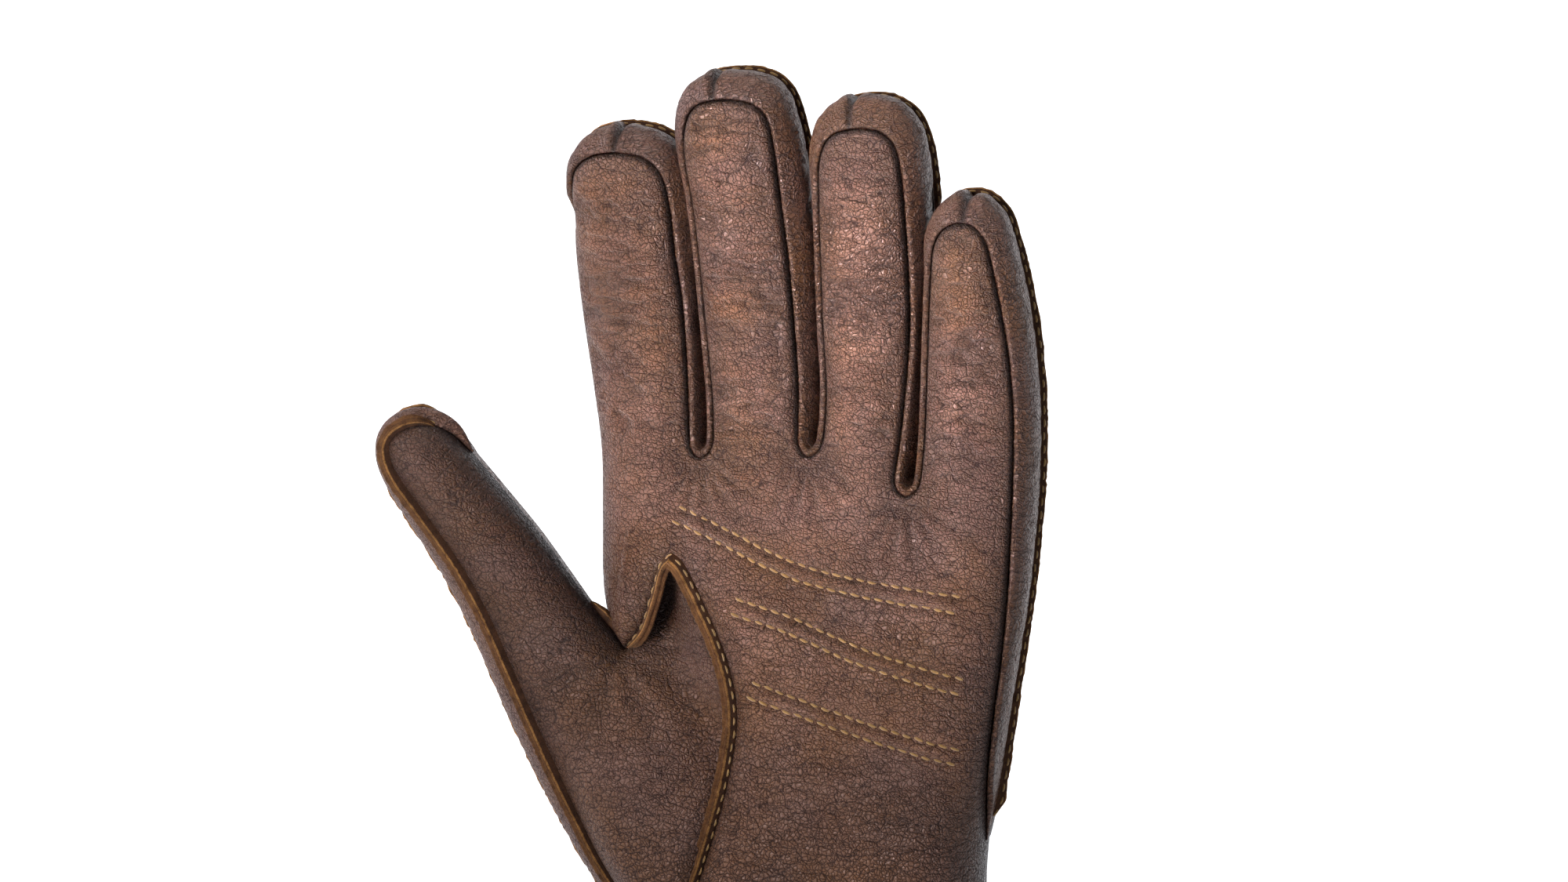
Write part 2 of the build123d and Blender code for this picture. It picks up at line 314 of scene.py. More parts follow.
def leather(name, dark=1.0, grain=1.0):
    """Brown pebbled leather: small cells between dark creases, glossy on their tops, with painted shade in the creases'
    colour and a painted highlight on the cells' tops.
    """
    m, shader = material(name)
    n = Net(m)
    rest = n.add("Attribute", attribute_name="rest").outputs["Vector"]
    drift = n.add("TexNoise", Vector=rest, Scale=0.5, Detail=3.0).outputs["Color"]
    place = n.moved(rest, drift, 1.6)
    cells = n.add("TexVoronoi", feature="DISTANCE_TO_EDGE", Vector=place, Scale=1.12).outputs["Distance"]
    stretched = n.scaled(place, (0.25, 0.25, 0.60))
    long = n.add("TexVoronoi", feature="DISTANCE_TO_EDGE", Vector=stretched, Scale=0.85).outputs["Distance"]
    fine = n.add("TexNoise", Vector=rest, Scale=2.4, Detail=2.0, Roughness=0.5).outputs["Fac"]
    broad = n.add("TexNoise", Vector=rest, Scale=0.05, Detail=3.0).outputs["Fac"]
    patch = n.add("TexNoise", Vector=rest, Scale=0.12, Detail=3.0).outputs["Fac"]
    share = n.ramp(patch, (0.36, (0.55,) * 3), (0.62, (1.0,) * 3))
    cell_top = n.ramp(cells, (0.0, (0, 0, 0)), (0.10, (0.55,) * 3), (0.30, (1.0,) * 3))
    long_top = n.ramp(long, (0.0, (0, 0, 0)), (0.035, (0.6,) * 3), (0.11, (1.0,) * 3))
    height = n.math("ADD", n.math("MULTIPLY", cell_top, share), n.math("MULTIPLY", long_top, 0.9))
    height = n.math("ADD", height, n.math("MULTIPLY", fine, 0.22))
    bump = n.add("Bump", Strength=1.0, Distance=0.00030 * grain, Height=height)
    cool, warm = (0.151 * dark, 0.074 * dark, 0.049 * dark), (0.156 * dark, 0.069 * dark, 0.031 * dark)
    base = n.mix(n.ramp(broad, (0.38, (0, 0, 0)), (0.62, (1, 1, 1))), cool, warm)
    lines = n.math("MULTIPLY", n.ramp(cells, (0.0, (0, 0, 0)), (0.14, (1, 1, 1))),
        n.ramp(long, (0.0, (0, 0, 0)), (0.04, (1, 1, 1))))
    # Colour of the grain: the creases darker, partly their own dark and partly painted shade, and the cells' tops
    # lighter as a painted highlight.
    grain_crease_shade_and_top_highlight = n.ramp(lines, (0.0, (0.20, 0.16, 0.15)), (0.55, (0.85, 0.84, 0.84)), (1.0, (1.12, 1.12, 1.13)))
    # The 'shade' attribute carries painted shade and painted highlight in the colour: darker at seams, in wrinkles,
    # slots and hollows and over the thumb's front, lighter on raised folds.
    painted_shade = n.add("Attribute", attribute_name="shade").outputs["Fac"]
    painted_shade_tint = n.ramp(n.math("MULTIPLY", painted_shade, 0.5), (0.0, (0.0, 0.0, 0.0)), (0.5, (1.0, 1.0, 1.0)), (0.75, (1.6, 1.6, 1.6)))
    colour = n.mix(1.0, n.mix(1.0, base, grain_crease_shade_and_top_highlight, "MULTIPLY"), painted_shade_tint, "MULTIPLY")
    n.tree.links.new(colour, shader.inputs["Base Color"])
    n.tree.links.new(n.ramp(lines, (0.0, (0.75,) * 3), (0.8, (0.34,) * 3)), shader.inputs["Roughness"])
    n.tree.links.new(bump.outputs[0], shader.inputs["Normal"])
    shader.inputs["Specular IOR Level"].default_value = 0.6
    shader.inputs["Specular Tint"].default_value = (1.0, 0.84, 0.84, 1)
    return m


def suede(name, light, deep):
    """The raw, fuzzy cut edge of the leather."""
    m, shader = material(name)
    n = Net(m)
    rest = n.add("Attribute", attribute_name="rest").outputs["Vector"]
    fuzz = n.add("TexNoise", Vector=rest, Scale=2.6, Detail=6.0, Roughness=0.75).outputs["Fac"]
    blot = n.add("TexNoise", Vector=rest, Scale=0.55, Detail=3.0).outputs["Fac"]
    both = n.math("ADD", n.math("MULTIPLY", fuzz, 0.6), n.math("MULTIPLY", blot, 0.4))
    n.tree.links.new(n.ramp(both, (0.36, deep), (0.62, light)), shader.inputs["Base Color"])
    bump = n.add("Bump", Strength=0.9, Distance=0.0004, Height=fuzz)
    n.tree.links.new(bump.outputs[0], shader.inputs["Normal"])
    shader.inputs["Roughness"].default_value = 0.95
    shader.inputs["Specular IOR Level"].default_value = 0.2
    shader.inputs["Sheen Weight"].default_value = 0.06
    shader.inputs["Sheen Tint"].default_value = (0.9, 0.65, 0.4, 1)
    return m


def thread(name):
    m, shader = material(name)
    n = Net(m)
    rest = n.add("Attribute", attribute_name="rest").outputs["Vector"]
    twist = n.add("TexWave", Vector=rest, Scale=1.6, Distortion=1.5).outputs["Fac"]
    n.tree.links.new(n.ramp(twist, (0.15, (0.16, 0.070, 0.016)), (0.75, (0.56, 0.33, 0.095))),
        shader.inputs["Base Color"])
    bump = n.add("Bump", Strength=0.6, Distance=0.0002, Height=twist)
    n.tree.links.new(bump.outputs[0], shader.inputs["Normal"])
    shader.inputs["Roughness"].default_value = 0.55
    shader.inputs["Sheen Weight"].default_value = 0.3
    return m


def fleece(name):
    m, shader = material(name)
    n = Net(m)
    rest = n.add("Attribute", attribute_name="rest").outputs["Vector"]
    tufts = n.add("TexVoronoi", Vector=rest, Scale=0.7).outputs["Distance"]
    fuzz = n.add("TexNoise", Vector=rest, Scale=2.0, Detail=6.0, Roughness=0.8).outputs["Fac"]
    both = n.math("ADD", n.math("MULTIPLY", tufts, -0.5), fuzz)
    n.tree.links.new(n.ramp(both, (0.1, (0.05, 0.03, 0.02)), (0.6, (0.19, 0.125, 0.085))), shader.inputs["Base Color"])
    bump = n.add("Bump", Strength=1.0, Distance=0.0008, Height=both)
    n.tree.links.new(bump.outputs[0], shader.inputs["Normal"])
    shader.inputs["Roughness"].default_value = 1.0
    shader.inputs["Sheen Weight"].default_value = 0.6
    return m


LEATHER = leather("brown_leather")
# The side strips' leather is the front's, 8% darker as painted shade, with a shallower grain.
STRIP_LEATHER_SHADED = leather("strip_leather_shaded", 0.92, 0.8)
# The raised seams' raw edge in three tones: the sides darker, the top lighter, and a thin band along the top corners
# lighter still, partly the cut edge's own tan and partly painted highlight.
FIN_SIDE = suede("raw_side", (0.100, 0.044, 0.022), (0.030, 0.013, 0.008))
FIN_TOP = suede("raw_edge", (0.175, 0.076, 0.028), (0.036, 0.015, 0.007))
FIN_CORNER_HIGHLIGHT = suede("raw_corner_highlight", (0.46, 0.22, 0.070), (0.070, 0.030, 0.011))
FIN_SKINS = [FIN_SIDE, FIN_TOP, FIN_CORNER_HIGHLIGHT]
THREAD = thread("gold_thread")
FLEECE = fleece("lining_fleece")


# ---------------------------------------------------------------- meshes


def tri_normals(co, faces):
    """Smooth normals at the vertices of a list of faces."""
    out = np.zeros_like(co)
    for size in (3, 4):
        group = np.array([f for f in faces if len(f) == size], int)
        if not len(group):
            continue
        n = np.cross(co[group[:, 1]] - co[group[:, 0]], co[group[:, 2]] - co[group[:, 0]])
        if size == 4:
            n = np.cross(co[group[:, 2]] - co[group[:, 0]], co[group[:, 3]] - co[group[:, 1]])
        for k in range(size):
            np.add.at(out, group[:, k], n)
    return out / np.maximum(np.linalg.norm(out, axis=1), 1e-12)[:, None]


def make_object(name, co, faces, rest, mats, face_mats=None, normals=None, shade=None):
    """A smooth mesh in metres from millimetre vertices, with their rest place for the textures."""
    mesh = bpy.data.meshes.new(name)
    mesh.from_pydata((co * MM).tolist(), [], [list(map(int, f)) for f in faces])
    for m in mats:
        mesh.materials.append(m)
    mesh.polygons.foreach_set("use_smooth", [True] * len(mesh.polygons))
    if face_mats is not None:
        mesh.polygons.foreach_set("material_index", np.asarray(face_mats, np.int32))
    stored = mesh.attributes.new("rest", "FLOAT_VECTOR", "POINT")
    stored.data.foreach_set("vector", np.ascontiguousarray(rest, np.float32).ravel())
    stored = mesh.attributes.new("shade", "FLOAT", "POINT")
    stored.data.foreach_set("value", np.ones(len(co), np.float32) if shade is None else np.ascontiguousarray(shade,
        np.float32))
    mesh.update()
    if normals is not None:
        mesh.normals_split_custom_set_from_vertices(normals.tolist())
    obj = bpy.data.objects.new(name, mesh)
    bpy.context.scene.collection.objects.link(obj)
    return obj


def split_pieces(prefix, co, faces, rest, region, names, mats, face_mats=None, shade=None):
    """Cuts a mesh into the hand's and fingers' pieces by the region of each face, and hangs the hand's piece on its
    body.
    """
    normals = tri_normals(co, faces)
    face_region = np.array([np.bincount(region[list(f)]).argmax() for f in faces])
    made = {}
    for r in np.unique(face_region):
        picked = np.nonzero(face_region == r)[0]
        used = np.unique(np.concatenate([np.asarray(faces[i]) for i in picked]))
        renumber = {v: i for i, v in enumerate(used)}
        own_faces = [[renumber[v] for v in faces[i]] for i in picked]
        own_mats = None if face_mats is None else np.asarray(face_mats)[picked]
        own_shade = None if shade is None else shade[used]
        obj = make_object(f"{prefix}_{names[r]}", co[used], own_faces, rest[used], mats, own_mats, normals[used],
            own_shade)
        if names[r] == "hand":
            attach(obj, "hand")
        else:
            blend_ends(names[r])
            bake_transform(obj)
        made[names[r]] = obj
    return made


def nearest(samples, xz, count):
    tree = kdtree.KDTree(len(samples))
    for i, s in enumerate(samples):
        tree.insert((s[0], s[1], 0), i)
    tree.balance()
    index = np.zeros((len(xz), count), int)
    for row, (x, z) in enumerate(xz):
        index[row] = [hit[1] for hit in tree.find_n((x, z, 0), count)]
    return index


def edge_distance(samples, xz, open_run=False):
    """Distance from each point to a run of samples, and the samples nearest to it.

    The run is closed, or with open_run it leaves out the one wide gap between its samples.
    """
    near = nearest(samples, xz, 10)
    best = np.full(len(xz), 1e9)
    for shift in (-1, 0):
        a = samples[(near[:, 0] + shift) % len(samples)]
        b = samples[(near[:, 0] + shift + 1) % len(samples)]
        t = np.sum((xz - a) * (b - a), 1) / np.maximum(np.sum((b - a) ** 2, 1), 1e-9)
        gap = xz - a - np.clip(t, 0, 1)[:, None] * (b - a)
        away = np.hypot(gap[:, 0], gap[:, 1])
        if open_run:
            away = np.where(np.hypot(*(b - a).T) > 3 * STEP, np.hypot(*(xz - a).T), away)
        best = np.minimum(best, away)
    return best, near


def inside(poly, xz):
    a, b = poly, np.roll(poly, -1, 0)
    out = np.zeros(len(xz), bool)
    for start in range(0, len(xz), 4000):
        x, z = xz[start : start + 4000, 0][:, None], xz[start : start + 4000, 1][:, None]
        crosses = (a[:, 1] > z) != (b[:, 1] > z)
        dz = np.where(b[:, 1] == a[:, 1], 1e-9, b[:, 1] - a[:, 1])
        at = a[:, 0] + (z - a[:, 1]) / dz * (b[:, 0] - a[:, 0])
        out[start : start + 4000] = np.sum(crosses & (x < at), 1) % 2 == 1
    return out


def panel_mesh(outline, extra=()):
    """Triangles over a closed flat outline, finer along its edge."""
    low, high = outline.min(0), outline.max(0)
    rows = []
    for k, z in enumerate(np.arange(low[1], high[1], GRID * 0.866)):
        x = np.arange(low[0] + (GRID / 2 if k % 2 else 0), high[0], GRID)
        rows.append(np.stack([x, np.full_like(x, z)], 1))
    cloud = np.vstack(rows)
    cloud += rng.normal(size=cloud.shape) * 0.12
    rings = []
    n = normals_2d(np.vstack([outline[-1], outline, outline[0]]))[1:-1]
    for gap in (0.3, 0.75, 1.35, 2.1):
        for side in (-1, 1):
            ring = outline + n * gap * side
            rings.append(np.hstack([ring, np.full((len(ring), 1), gap)]))
    rings = np.vstack(rings)
    d, _ = edge_distance(outline, rings[:, :2])
    rings = rings[np.abs(d - rings[:, 2]) < 0.12][:, :2]
    d, _ = edge_distance(outline, cloud)
    cloud = cloud[d > 2.7]
    points = np.vstack([rings, cloud] + ([extra] if len(extra) else []))
    points = points[inside(outline, points)]
    edges = [(i, (i + 1) % len(outline)) for i in range(len(outline))]
    coords = [Vector(v) for v in np.vstack([outline, points]).tolist()]
    co, _, faces, _, _, _ = geometry.delaunay_2d_cdt(coords, edges, [], 1, 0.02)
    co = np.array([tuple(v) for v in co])
    faces = np.array([f for f in faces if len(f) == 3])
    a, b, c = co[faces[:, 0]], co[faces[:, 1]], co[faces[:, 2]]
    area = (b[:, 0] - a[:, 0]) * (c[:, 1] - a[:, 1]) - (b[:, 1] - a[:, 1]) * (c[:, 0] - a[:, 0])
    faces[area < 0] = faces[area < 0][:, [0, 2, 1]]
    used = np.unique(faces)
    renumber = np.full(len(co), -1)
    renumber[used] = np.arange(len(used))
    return co[used], renumber[faces]


def rolled(outline, values, free, xz, target):
    """Depth over a panel: its edge value at the outline, rolling up to the target within the edge's radius.

    values holds the edge's depth and roll radius. free marks outline samples that don't roll.
    """
    samples, values = outline[~free], values[~free]
    loop_gap = np.hypot(*np.diff(np.vstack([samples, samples[:1]]), axis=0).T).max()
    d, near = edge_distance(samples, xz, loop_gap > 3 * STEP)
    gap = np.hypot(*(np.moveaxis(samples[near] - xz[:, None], 2, 0)))
    w = 1 / (gap**2 + 0.03) ** 2
    edge = np.sum(values[near] * w[:, :, None], 1) / w.sum(1)[:, None]
    t = np.clip(d / edge[:, 1], 0, 1)
    return edge[:, 0] + (target - edge[:, 0]) * np.sqrt(1 - (1 - t) ** 2), d


# ---------------------------------------------------------------- the cut outlines

# A row is x, z, depth of the seam in front, of the seam behind, the strip's bulge, the back seam's
# offset, and the radius that the panel rolls over. The strip runs from the index finger's thumb side,
# over every tip and through every crotch, and down the little finger's side to the wrist.
STRIP_ROWS = [
    (-56.2, 209, 0.5, 0.0, 0.2, 0.1, 11),
    (-55.9, 213, 2.5, 2.0, 0.8, 0.3, 10),
    (-55.6, 218.5, 5.5, 4.5, 1.8, 0.4, 8),
    (-54.3, 223.2, 7, 6, 2.8, 0.5, 7),
    (-50.4, 226.0, 7, 6.5, 3.4, 0.5, 7),
    (-44.4, 226.7, 7, 6.5, 3.5, 0.4, 7),
    (-38.6, 225.5, 7, 6.5, 3.6, 0.6, 7),
    (-34.9, 221.6, 7, 6.5, 3.8, 1.8, 7),
    (-33.2, 214.5, 7, 6.5, 4.0, 3.2, 8),
    (-32.2, 205, 7, 6, 3.7, 3.4, 8),
    (-30.8, 195, 7, 6, 3.2, 3.0, 9),
    (-29.8, 184, 7.2, 6, 3.0, 2.9, 9),
    (-29.2, 174, 7.8, 6, 3.2, 3.1, 9),
    (-28.7, 165, 8.8, 6, 3.2, 3.1, 9),
    (-27.9, 161.4, 9.8, 6, 3.2, 3.0, 8),
    (-25.6, 159.6, 10.4, 6, 3.4, 3.0, 8),
    (-23.3, 161.4, 9.8, 6, 2.2, 2.0, 8),
    (-22.9, 165, 8.8, 6, 1.9, 1.8, 9),
    (-23.4, 174, 7.8, 6, 1.9, 1.8, 9),
    (-24.7, 186, 7, 6, 1.7, 1.6, 9),
    (-26.0, 200, 7, 6, 1.8, 1.6, 8),
    (-27.6, 215, 7, 6, 2.4, 1.6, 8),
    (-29.3, 226, 7, 6.5, 3.0, 1.4, 7),
    (-29.2, 232.6, 7, 6.5, 3.6, 1.0, 7),
    (-27.0, 237.0, 7, 6.5, 4.0, 0.8, 7),
    (-21.8, 238.6, 7, 6.5, 4.0, 0.7, 7),
    (-15.8, 238.3, 7, 6.5, 4.0, 0.9, 7),
    (-11.5, 235.8, 7, 6.5, 4.2, 1.5, 7),
    (-9.6, 229.5, 7, 6.5, 4.4, 2.4, 7),
    (-8.0, 217, 7, 6, 4.8, 3.6, 8),
    (-6.4, 204, 7, 6, 4.7, 4.2, 8),
    (-5.2, 190, 7, 6, 4.2, 4.0, 9),
    (-4.1, 177, 7.6, 6, 4.0, 3.9, 9),
    (-3.9, 166.5, 8.6, 6, 3.7, 3.6, 9),
    (-3.2, 162.4, 9.8, 6, 3.4, 3.2, 8),
    (-0.8, 160.5, 10.4, 6, 3.4, 3.0, 8),
    (1.7, 162.4, 9.8, 6, 2.2, 2.0, 8),
    (2.4, 166.5, 8.6, 6, 2.0, 1.9, 9),
    (2.6, 176, 7.6, 6, 2.0, 1.9, 9),
    (1.7, 190, 7, 6, 2.0, 1.9, 9),
    (1.2, 205, 7, 6, 2.4, 2.0, 8),
    (0.9, 218, 7, 6.5, 3.0, 2.0, 7),
    (1.2, 226.2, 7, 6.5, 3.8, 1.5, 7),
    (3.7, 231.0, 7, 6.5, 4.6, 1.2, 7),
    (8.8, 232.6, 7, 6.5, 4.8, 1.2, 7),
    (14.4, 232.1, 7, 6.5, 4.8, 1.4, 7),
    (17.9, 228.6, 7, 6.5, 4.8, 2.0, 7),
    (19.4, 221, 7, 6.5, 4.6, 3.0, 7),
    (20.2, 210, 7, 6, 3.9, 3.3, 8),
    (20.9, 198, 7, 6, 3.1, 2.9, 9),
    (20.9, 186, 7, 6, 2.8, 2.7, 9),
    (20.1, 174, 7.6, 6, 2.9, 2.8, 9),
    (19.0, 163, 8.4, 6, 3.2, 3.1, 9),
    (18.3, 157, 9.2, 6, 3.3, 3.2, 9),
    (18.9, 154.0, 10.2, 6, 3.3, 3.0, 8),
    (21.3, 152.4, 10.8, 6, 3.4, 3.0, 8),
    (23.8, 154.0, 10.2, 6, 2.2, 2.0, 8),
    (24.5, 157.5, 9.0, 6, 1.9, 1.8, 9),
    (24.9, 165, 8.0, 6, 1.8, 1.7, 9),
    (25.2, 177, 7.2, 6, 1.6, 1.5, 9),
    (25.5, 189, 7, 6, 1.6, 1.5, 8),
    (26.0, 200.5, 7, 6, 2.4, 1.6, 7),
    (26.8, 207.8, 7, 6, 3.4, 1.3, 7),
    (29.9, 211.8, 7, 6, 4.0, 1.0, 7),
    (34.6, 212.1, 7, 6, 4.1, 1.2, 7),
    (37.8, 208.9, 7, 6, 4.2, 1.7, 7),
    (39.6, 202.5, 7, 6, 4.3, 2.3, 8),
    (41.6, 193, 7, 6, 4.3, 2.7, 9),
    (43.4, 182, 7, 6, 4.3, 2.9, 9),
    (44.4, 170, 7.4, 5.5, 4.3, 2.9, 10),
    (44.5, 157, 8.2, 5, 4.2, 2.8, 10),
    (44.2, 143, 9, 4, 3.8, 2.3, 11),
    (43.6, 130, 9.5, 3, 3.3, 1.7, 11),
    (42.3, 117, 9.5, 3, 2.6, 1.1, 12),
    (40.7, 105, 9.5, 3, 2.2, 0.9, 12),
    (39.2, 94, 8.5, 3, 1.8, 0.8, 13),
    (38.0, 84.5, 5, 2.5, 1.0, 0.6, 14),
    (36.9, 76, 0.5, 0.5, 0.1, 0.1, 15),
]
TIP_SEAMS = [(-45.5, 226.7), (-22.8, 238.5), (8.0, 232.5), (33.0, 212)]
# x, z, depth, roll radius
ULNAR_LOW = [(36.9, 76, 0, 15), (36.3, 66, 0, 15), (36.8, 52, 0, 15), (38, 40, 0, 15), (42.5, 18, 0, 18),
    (47.5, 0, 0, 19)]
HEM_FRONT = [(47.5, 0, 0, 19), (0, 0, 0, 19), (-48, 0, 0, 19)]
RADIAL_LOW = [(-48, 0, 0, 19), (-43, 18, 0, 18), (-39.5, 36, 0, 15), (-38.6, 46, 0, 14)]
TEARDROP = [
    (-38.6, 46, 3, 9), (-33.5, 51, 11, 6), (-26.5, 62, 14, 4.5), (-21.4, 76, 15.2, 4), (-17.4, 91, 15.4, 4),
    (-15.8, 104, 15.4, 4), (-18.2, 116, 15, 4), (-23.4, 127.5, 14.4, 4), (-28.0, 135.8, 14, 4), (-31.0, 138.6, 14, 4),
]
NOTCH = [(-31.0, 138.6, 14, 4), (-33.2, 136.3, 14, 4), (-35.0, 130.5, 13.8, 4), (-37.8, 122.5, 13.3, 4),
    (-42.2, 117.4, 12, 5)]
RADIAL_UP = [
    (-42.2, 117.4, 12, 5), (-45.7, 120.6, 7, 7), (-49.0, 126.3, 2, 11), (-50.4, 134, 0, 13), (-50.6, 148, 0, 13),
    (-50.9, 161, 0, 12), (-52.9, 176, 0, 12), (-55.1, 191, 0, 11.5), (-56.2, 202, 0.3, 11), (-56.4, 209, 0.5, 11),
]
BACK_RADIAL = [(-38.6, 46, 0, 14), (-42, 60, 0, 12), (-45.5, 78, 0, 12), (-46.5, 96, -1, 10), (-44, 109, -4, 8),
    (-42.2, 117.4, -8, 6)]

HAND_SECTIONS = np.array([(0, 24), (44, 19), (68, 18.5), (92, 18), (120, 17), (133, 15.8), (150, 13.6), (162, 12.6),
    (180, 12.2), (205, 12.0), (245, 11.4)])
TUCKS = [((-30.4, 149.4), (-18, 144.2), (-5.5, 138.6), (9, 134.8), (36.4, 131.0)),
         ((-16.4, 129.7), (-3, 125.6), (12, 119.8), (24, 116.2), (37.0, 113.1)),
         ((-12.3, 111.6), (0, 107.6), (12, 103.9), (24, 100.6), (35.4, 97.8))]
TUCK_GAP = 3.4


def tuck_lines():
    """Each tuck's middle line, halfway between its two stitched rows."""
    return [smooth([(x - 0.5, z - TUCK_GAP / 2) for x, z in rows], 0.9) for rows in TUCKS]


TUCK_LINES = tuck_lines()


def tuck_height(x, z):
    """The raised roll between two stitched rows, and the grooves that the rows pull in."""
    out = np.zeros(len(x))
    for line in TUCK_LINES:
        t = np.interp(x, line[:, 0], line[:, 1], left=np.nan, right=np.nan)
        slope = np.interp(x, line[:, 0], np.gradient(line[:, 1], line[:, 0]))
        off = (z - t) / np.sqrt(1 + slope**2)
        ends = ramp(x, line[0, 0] - 1, line[0, 0] + 4) * (1 - ramp(x, line[-1, 0] - 4, line[-1, 0] + 1))
        body = 1.15 * gauss(off / 1.1) - 0.65 * gauss((np.abs(off) - TUCK_GAP / 2) / 0.6)
        body += 0.28 * gauss((np.abs(off) - 3.3) / 1.2)
        out += np.where(np.isnan(off), 0, np.nan_to_num(body) * ends)
    return out


def finger_wrinkles(x, z):
    """Cross wrinkles on the fingers, gathered at the joints, and folds fanning out below each crotch."""
    own = which_finger(x, z)
    out = np.zeros(len(x))
    for i, f in enumerate(FINGERS):
        mid = HINGE[f"{f}_middle_bend"][2]
        along = z - LEAN[f] * x * 0.5
        zone = 0.55 + 0.9 * gauss((z - mid) / 9) + 0.6 * gauss((z - CROTCH[f] - 9) / 8)
        zone += 0.5 * gauss((z - TIP[f] + 17) / 7)
        here = own == i
        lines = creases(x, along, 0.07, 0.26, 3 + i * 5, 3.2) + 0.6 * creases(x, along, 0.13, 0.5, 20 + i, 3.6)
        out[here] -= (1.35 * lines * zone * ramp(z, CROTCH[f] - 4, CROTCH[f] + 8))[here]
        swell = field(x * 0.05, along * 0.11, 40 + i)
        out[here] += (0.9 * swell * ramp(z, CROTCH[f] - 4, CROTCH[f] + 10))[here]
    return out


def palm_relief(x, z):
    """Broad mounds, the folds below the crotches and the hand's long creases."""
    low = 1 - ramp(z, 158, 168)
    out = 1.1 * field(x * 0.045, z * 0.045, 2.5) * low
    for cx, cz in ((-25.5, 160), (-0.8, 160.5), (21.3, 152.5)):
        dx, dz = x - cx, cz - z
        r = np.hypot(dx, dz)
        angle = np.arctan2(dx, np.maximum(dz, 0.01))
        fan = np.cos(angle * 15 + 1.3 * field(x * 0.15, z * 0.15, cx))
        fade = gauss((r - 6) / 9) * np.clip(dz / 3, 0, 1)
        out += 0.62 * fan * fade * (np.abs(angle) < 1.3)
        out -= 1.1 * gauss(r / 7) * np.clip(1 + dz / 6, 0, 1) * low
    fold = z - (147.5 + 2.2 * np.sin((x - 4) * 0.14))
    span = ramp(x, -3, 5) * (1 - ramp(x, 14, 22))
    out -= 0.75 * gauss(fold / 0.8) * span
    out += 0.45 * gauss((fold - 2.6) / 1.6) * span
    out -= 0.42 * creases(x, z, 0.05, 0.10, 61, 5.0) * low
    out -= 0.26 * creases(x, z, 0.16, 0.16, 71, 4.0) * low * ramp(z, 60, 80)
    return out


def soft_drape(x, z, seed):
    """Broad unevenness of the unworn cuff."""
    return 0.9 * field(x * 0.03, z * 0.02, seed) * (1 - ramp(z, 40, 90))


def stack(*runs):
    """Joins runs of x, z, value, radius into one closed outline."""
    rows = [r[:-1] for r in runs]
    return np.vstack(rows)


# The front panel: palm and four fingers in one piece.
strip = smooth(STRIP_ROWS)
strip_n = -normals_2d(strip[:, :2])
radial_low, ulnar_low = smooth(RADIAL_LOW), smooth(ULNAR_LOW)
teardrop, notch, radial_up = smooth(TEARDROP), smooth(NOTCH), smooth(RADIAL_UP)
hem_run = smooth(HEM_FRONT, 1.5)
seam_part = strip[:, [0, 1, 2, 6]]
front_loop = stack(radial_low, teardrop, notch, radial_up, seam_part, ulnar_low, hem_run)
hem_free = np.zeros(len(front_loop), bool)
hem_free[-(len(hem_run) - 1) :] = True


def front_target(x, z):
    depth = np.interp(z, HAND_SECTIONS[:, 0], HAND_SECTIONS[:, 1])
    own = which_finger(x, z)
    for i, f in enumerate(FINGERS):
        thinner = 0.6 * (f == "little")
        depth = depth - thinner * ((own == i) & (z > 150)) * ramp(z, 150, 165)
        depth = depth - 1.6 * (own == i) * ramp(z, TIP[f] - 22, TIP[f] - 4)
    return depth


def seam_shade(d):
    """Painted shade: how much the leather's colour darkens towards a seam at distance d."""
    return 0.15 + 0.50 * ramp(d, 0, 0.9) + 0.35 * ramp(d, 0.9, 6)


def build_front():
    lines = [np.stack([l[:, 0], l[:, 1] + off], 1) for l in TUCK_LINES for off in (-2.6, -1.75, -0.9, 0, 0.9, 1.75,
        2.6)]
    xz, faces = panel_mesh(front_loop[:, :2], np.vstack(lines))
    x, z = xz[:, 0], xz[:, 1]
    depth, d = rolled(front_loop[:, :2], front_loop[:, 2:4], hem_free, xz, front_target(x, z))
    fade = ramp(d, 0.2, 3.5)
    relief = (finger_wrinkles(x, z) + palm_relief(x, z)) * fade
    tucks = tuck_height(x, z)
    depth = depth + relief + soft_drape(x, z, 5) * fade + tucks
    # Painted shade in the colour: darker at the seams, in the wrinkles and in the tucks' grooves, with painted
    # highlight on raised folds and the tucks' ribs.
    shade = seam_shade(d) * (1 + 0.34 * np.clip(relief, -1.4, 0.8)) * (1 + 0.28 * np.clip(tucks, -1, 0.8))
    co = curled(x, z, depth)
    rest = np.stack([x, -depth, z], 1)
    return split_pieces("front", co, faces.tolist(), rest, hand_region(x, z), HAND_NAMES, [LEATHER],
        None, shade)


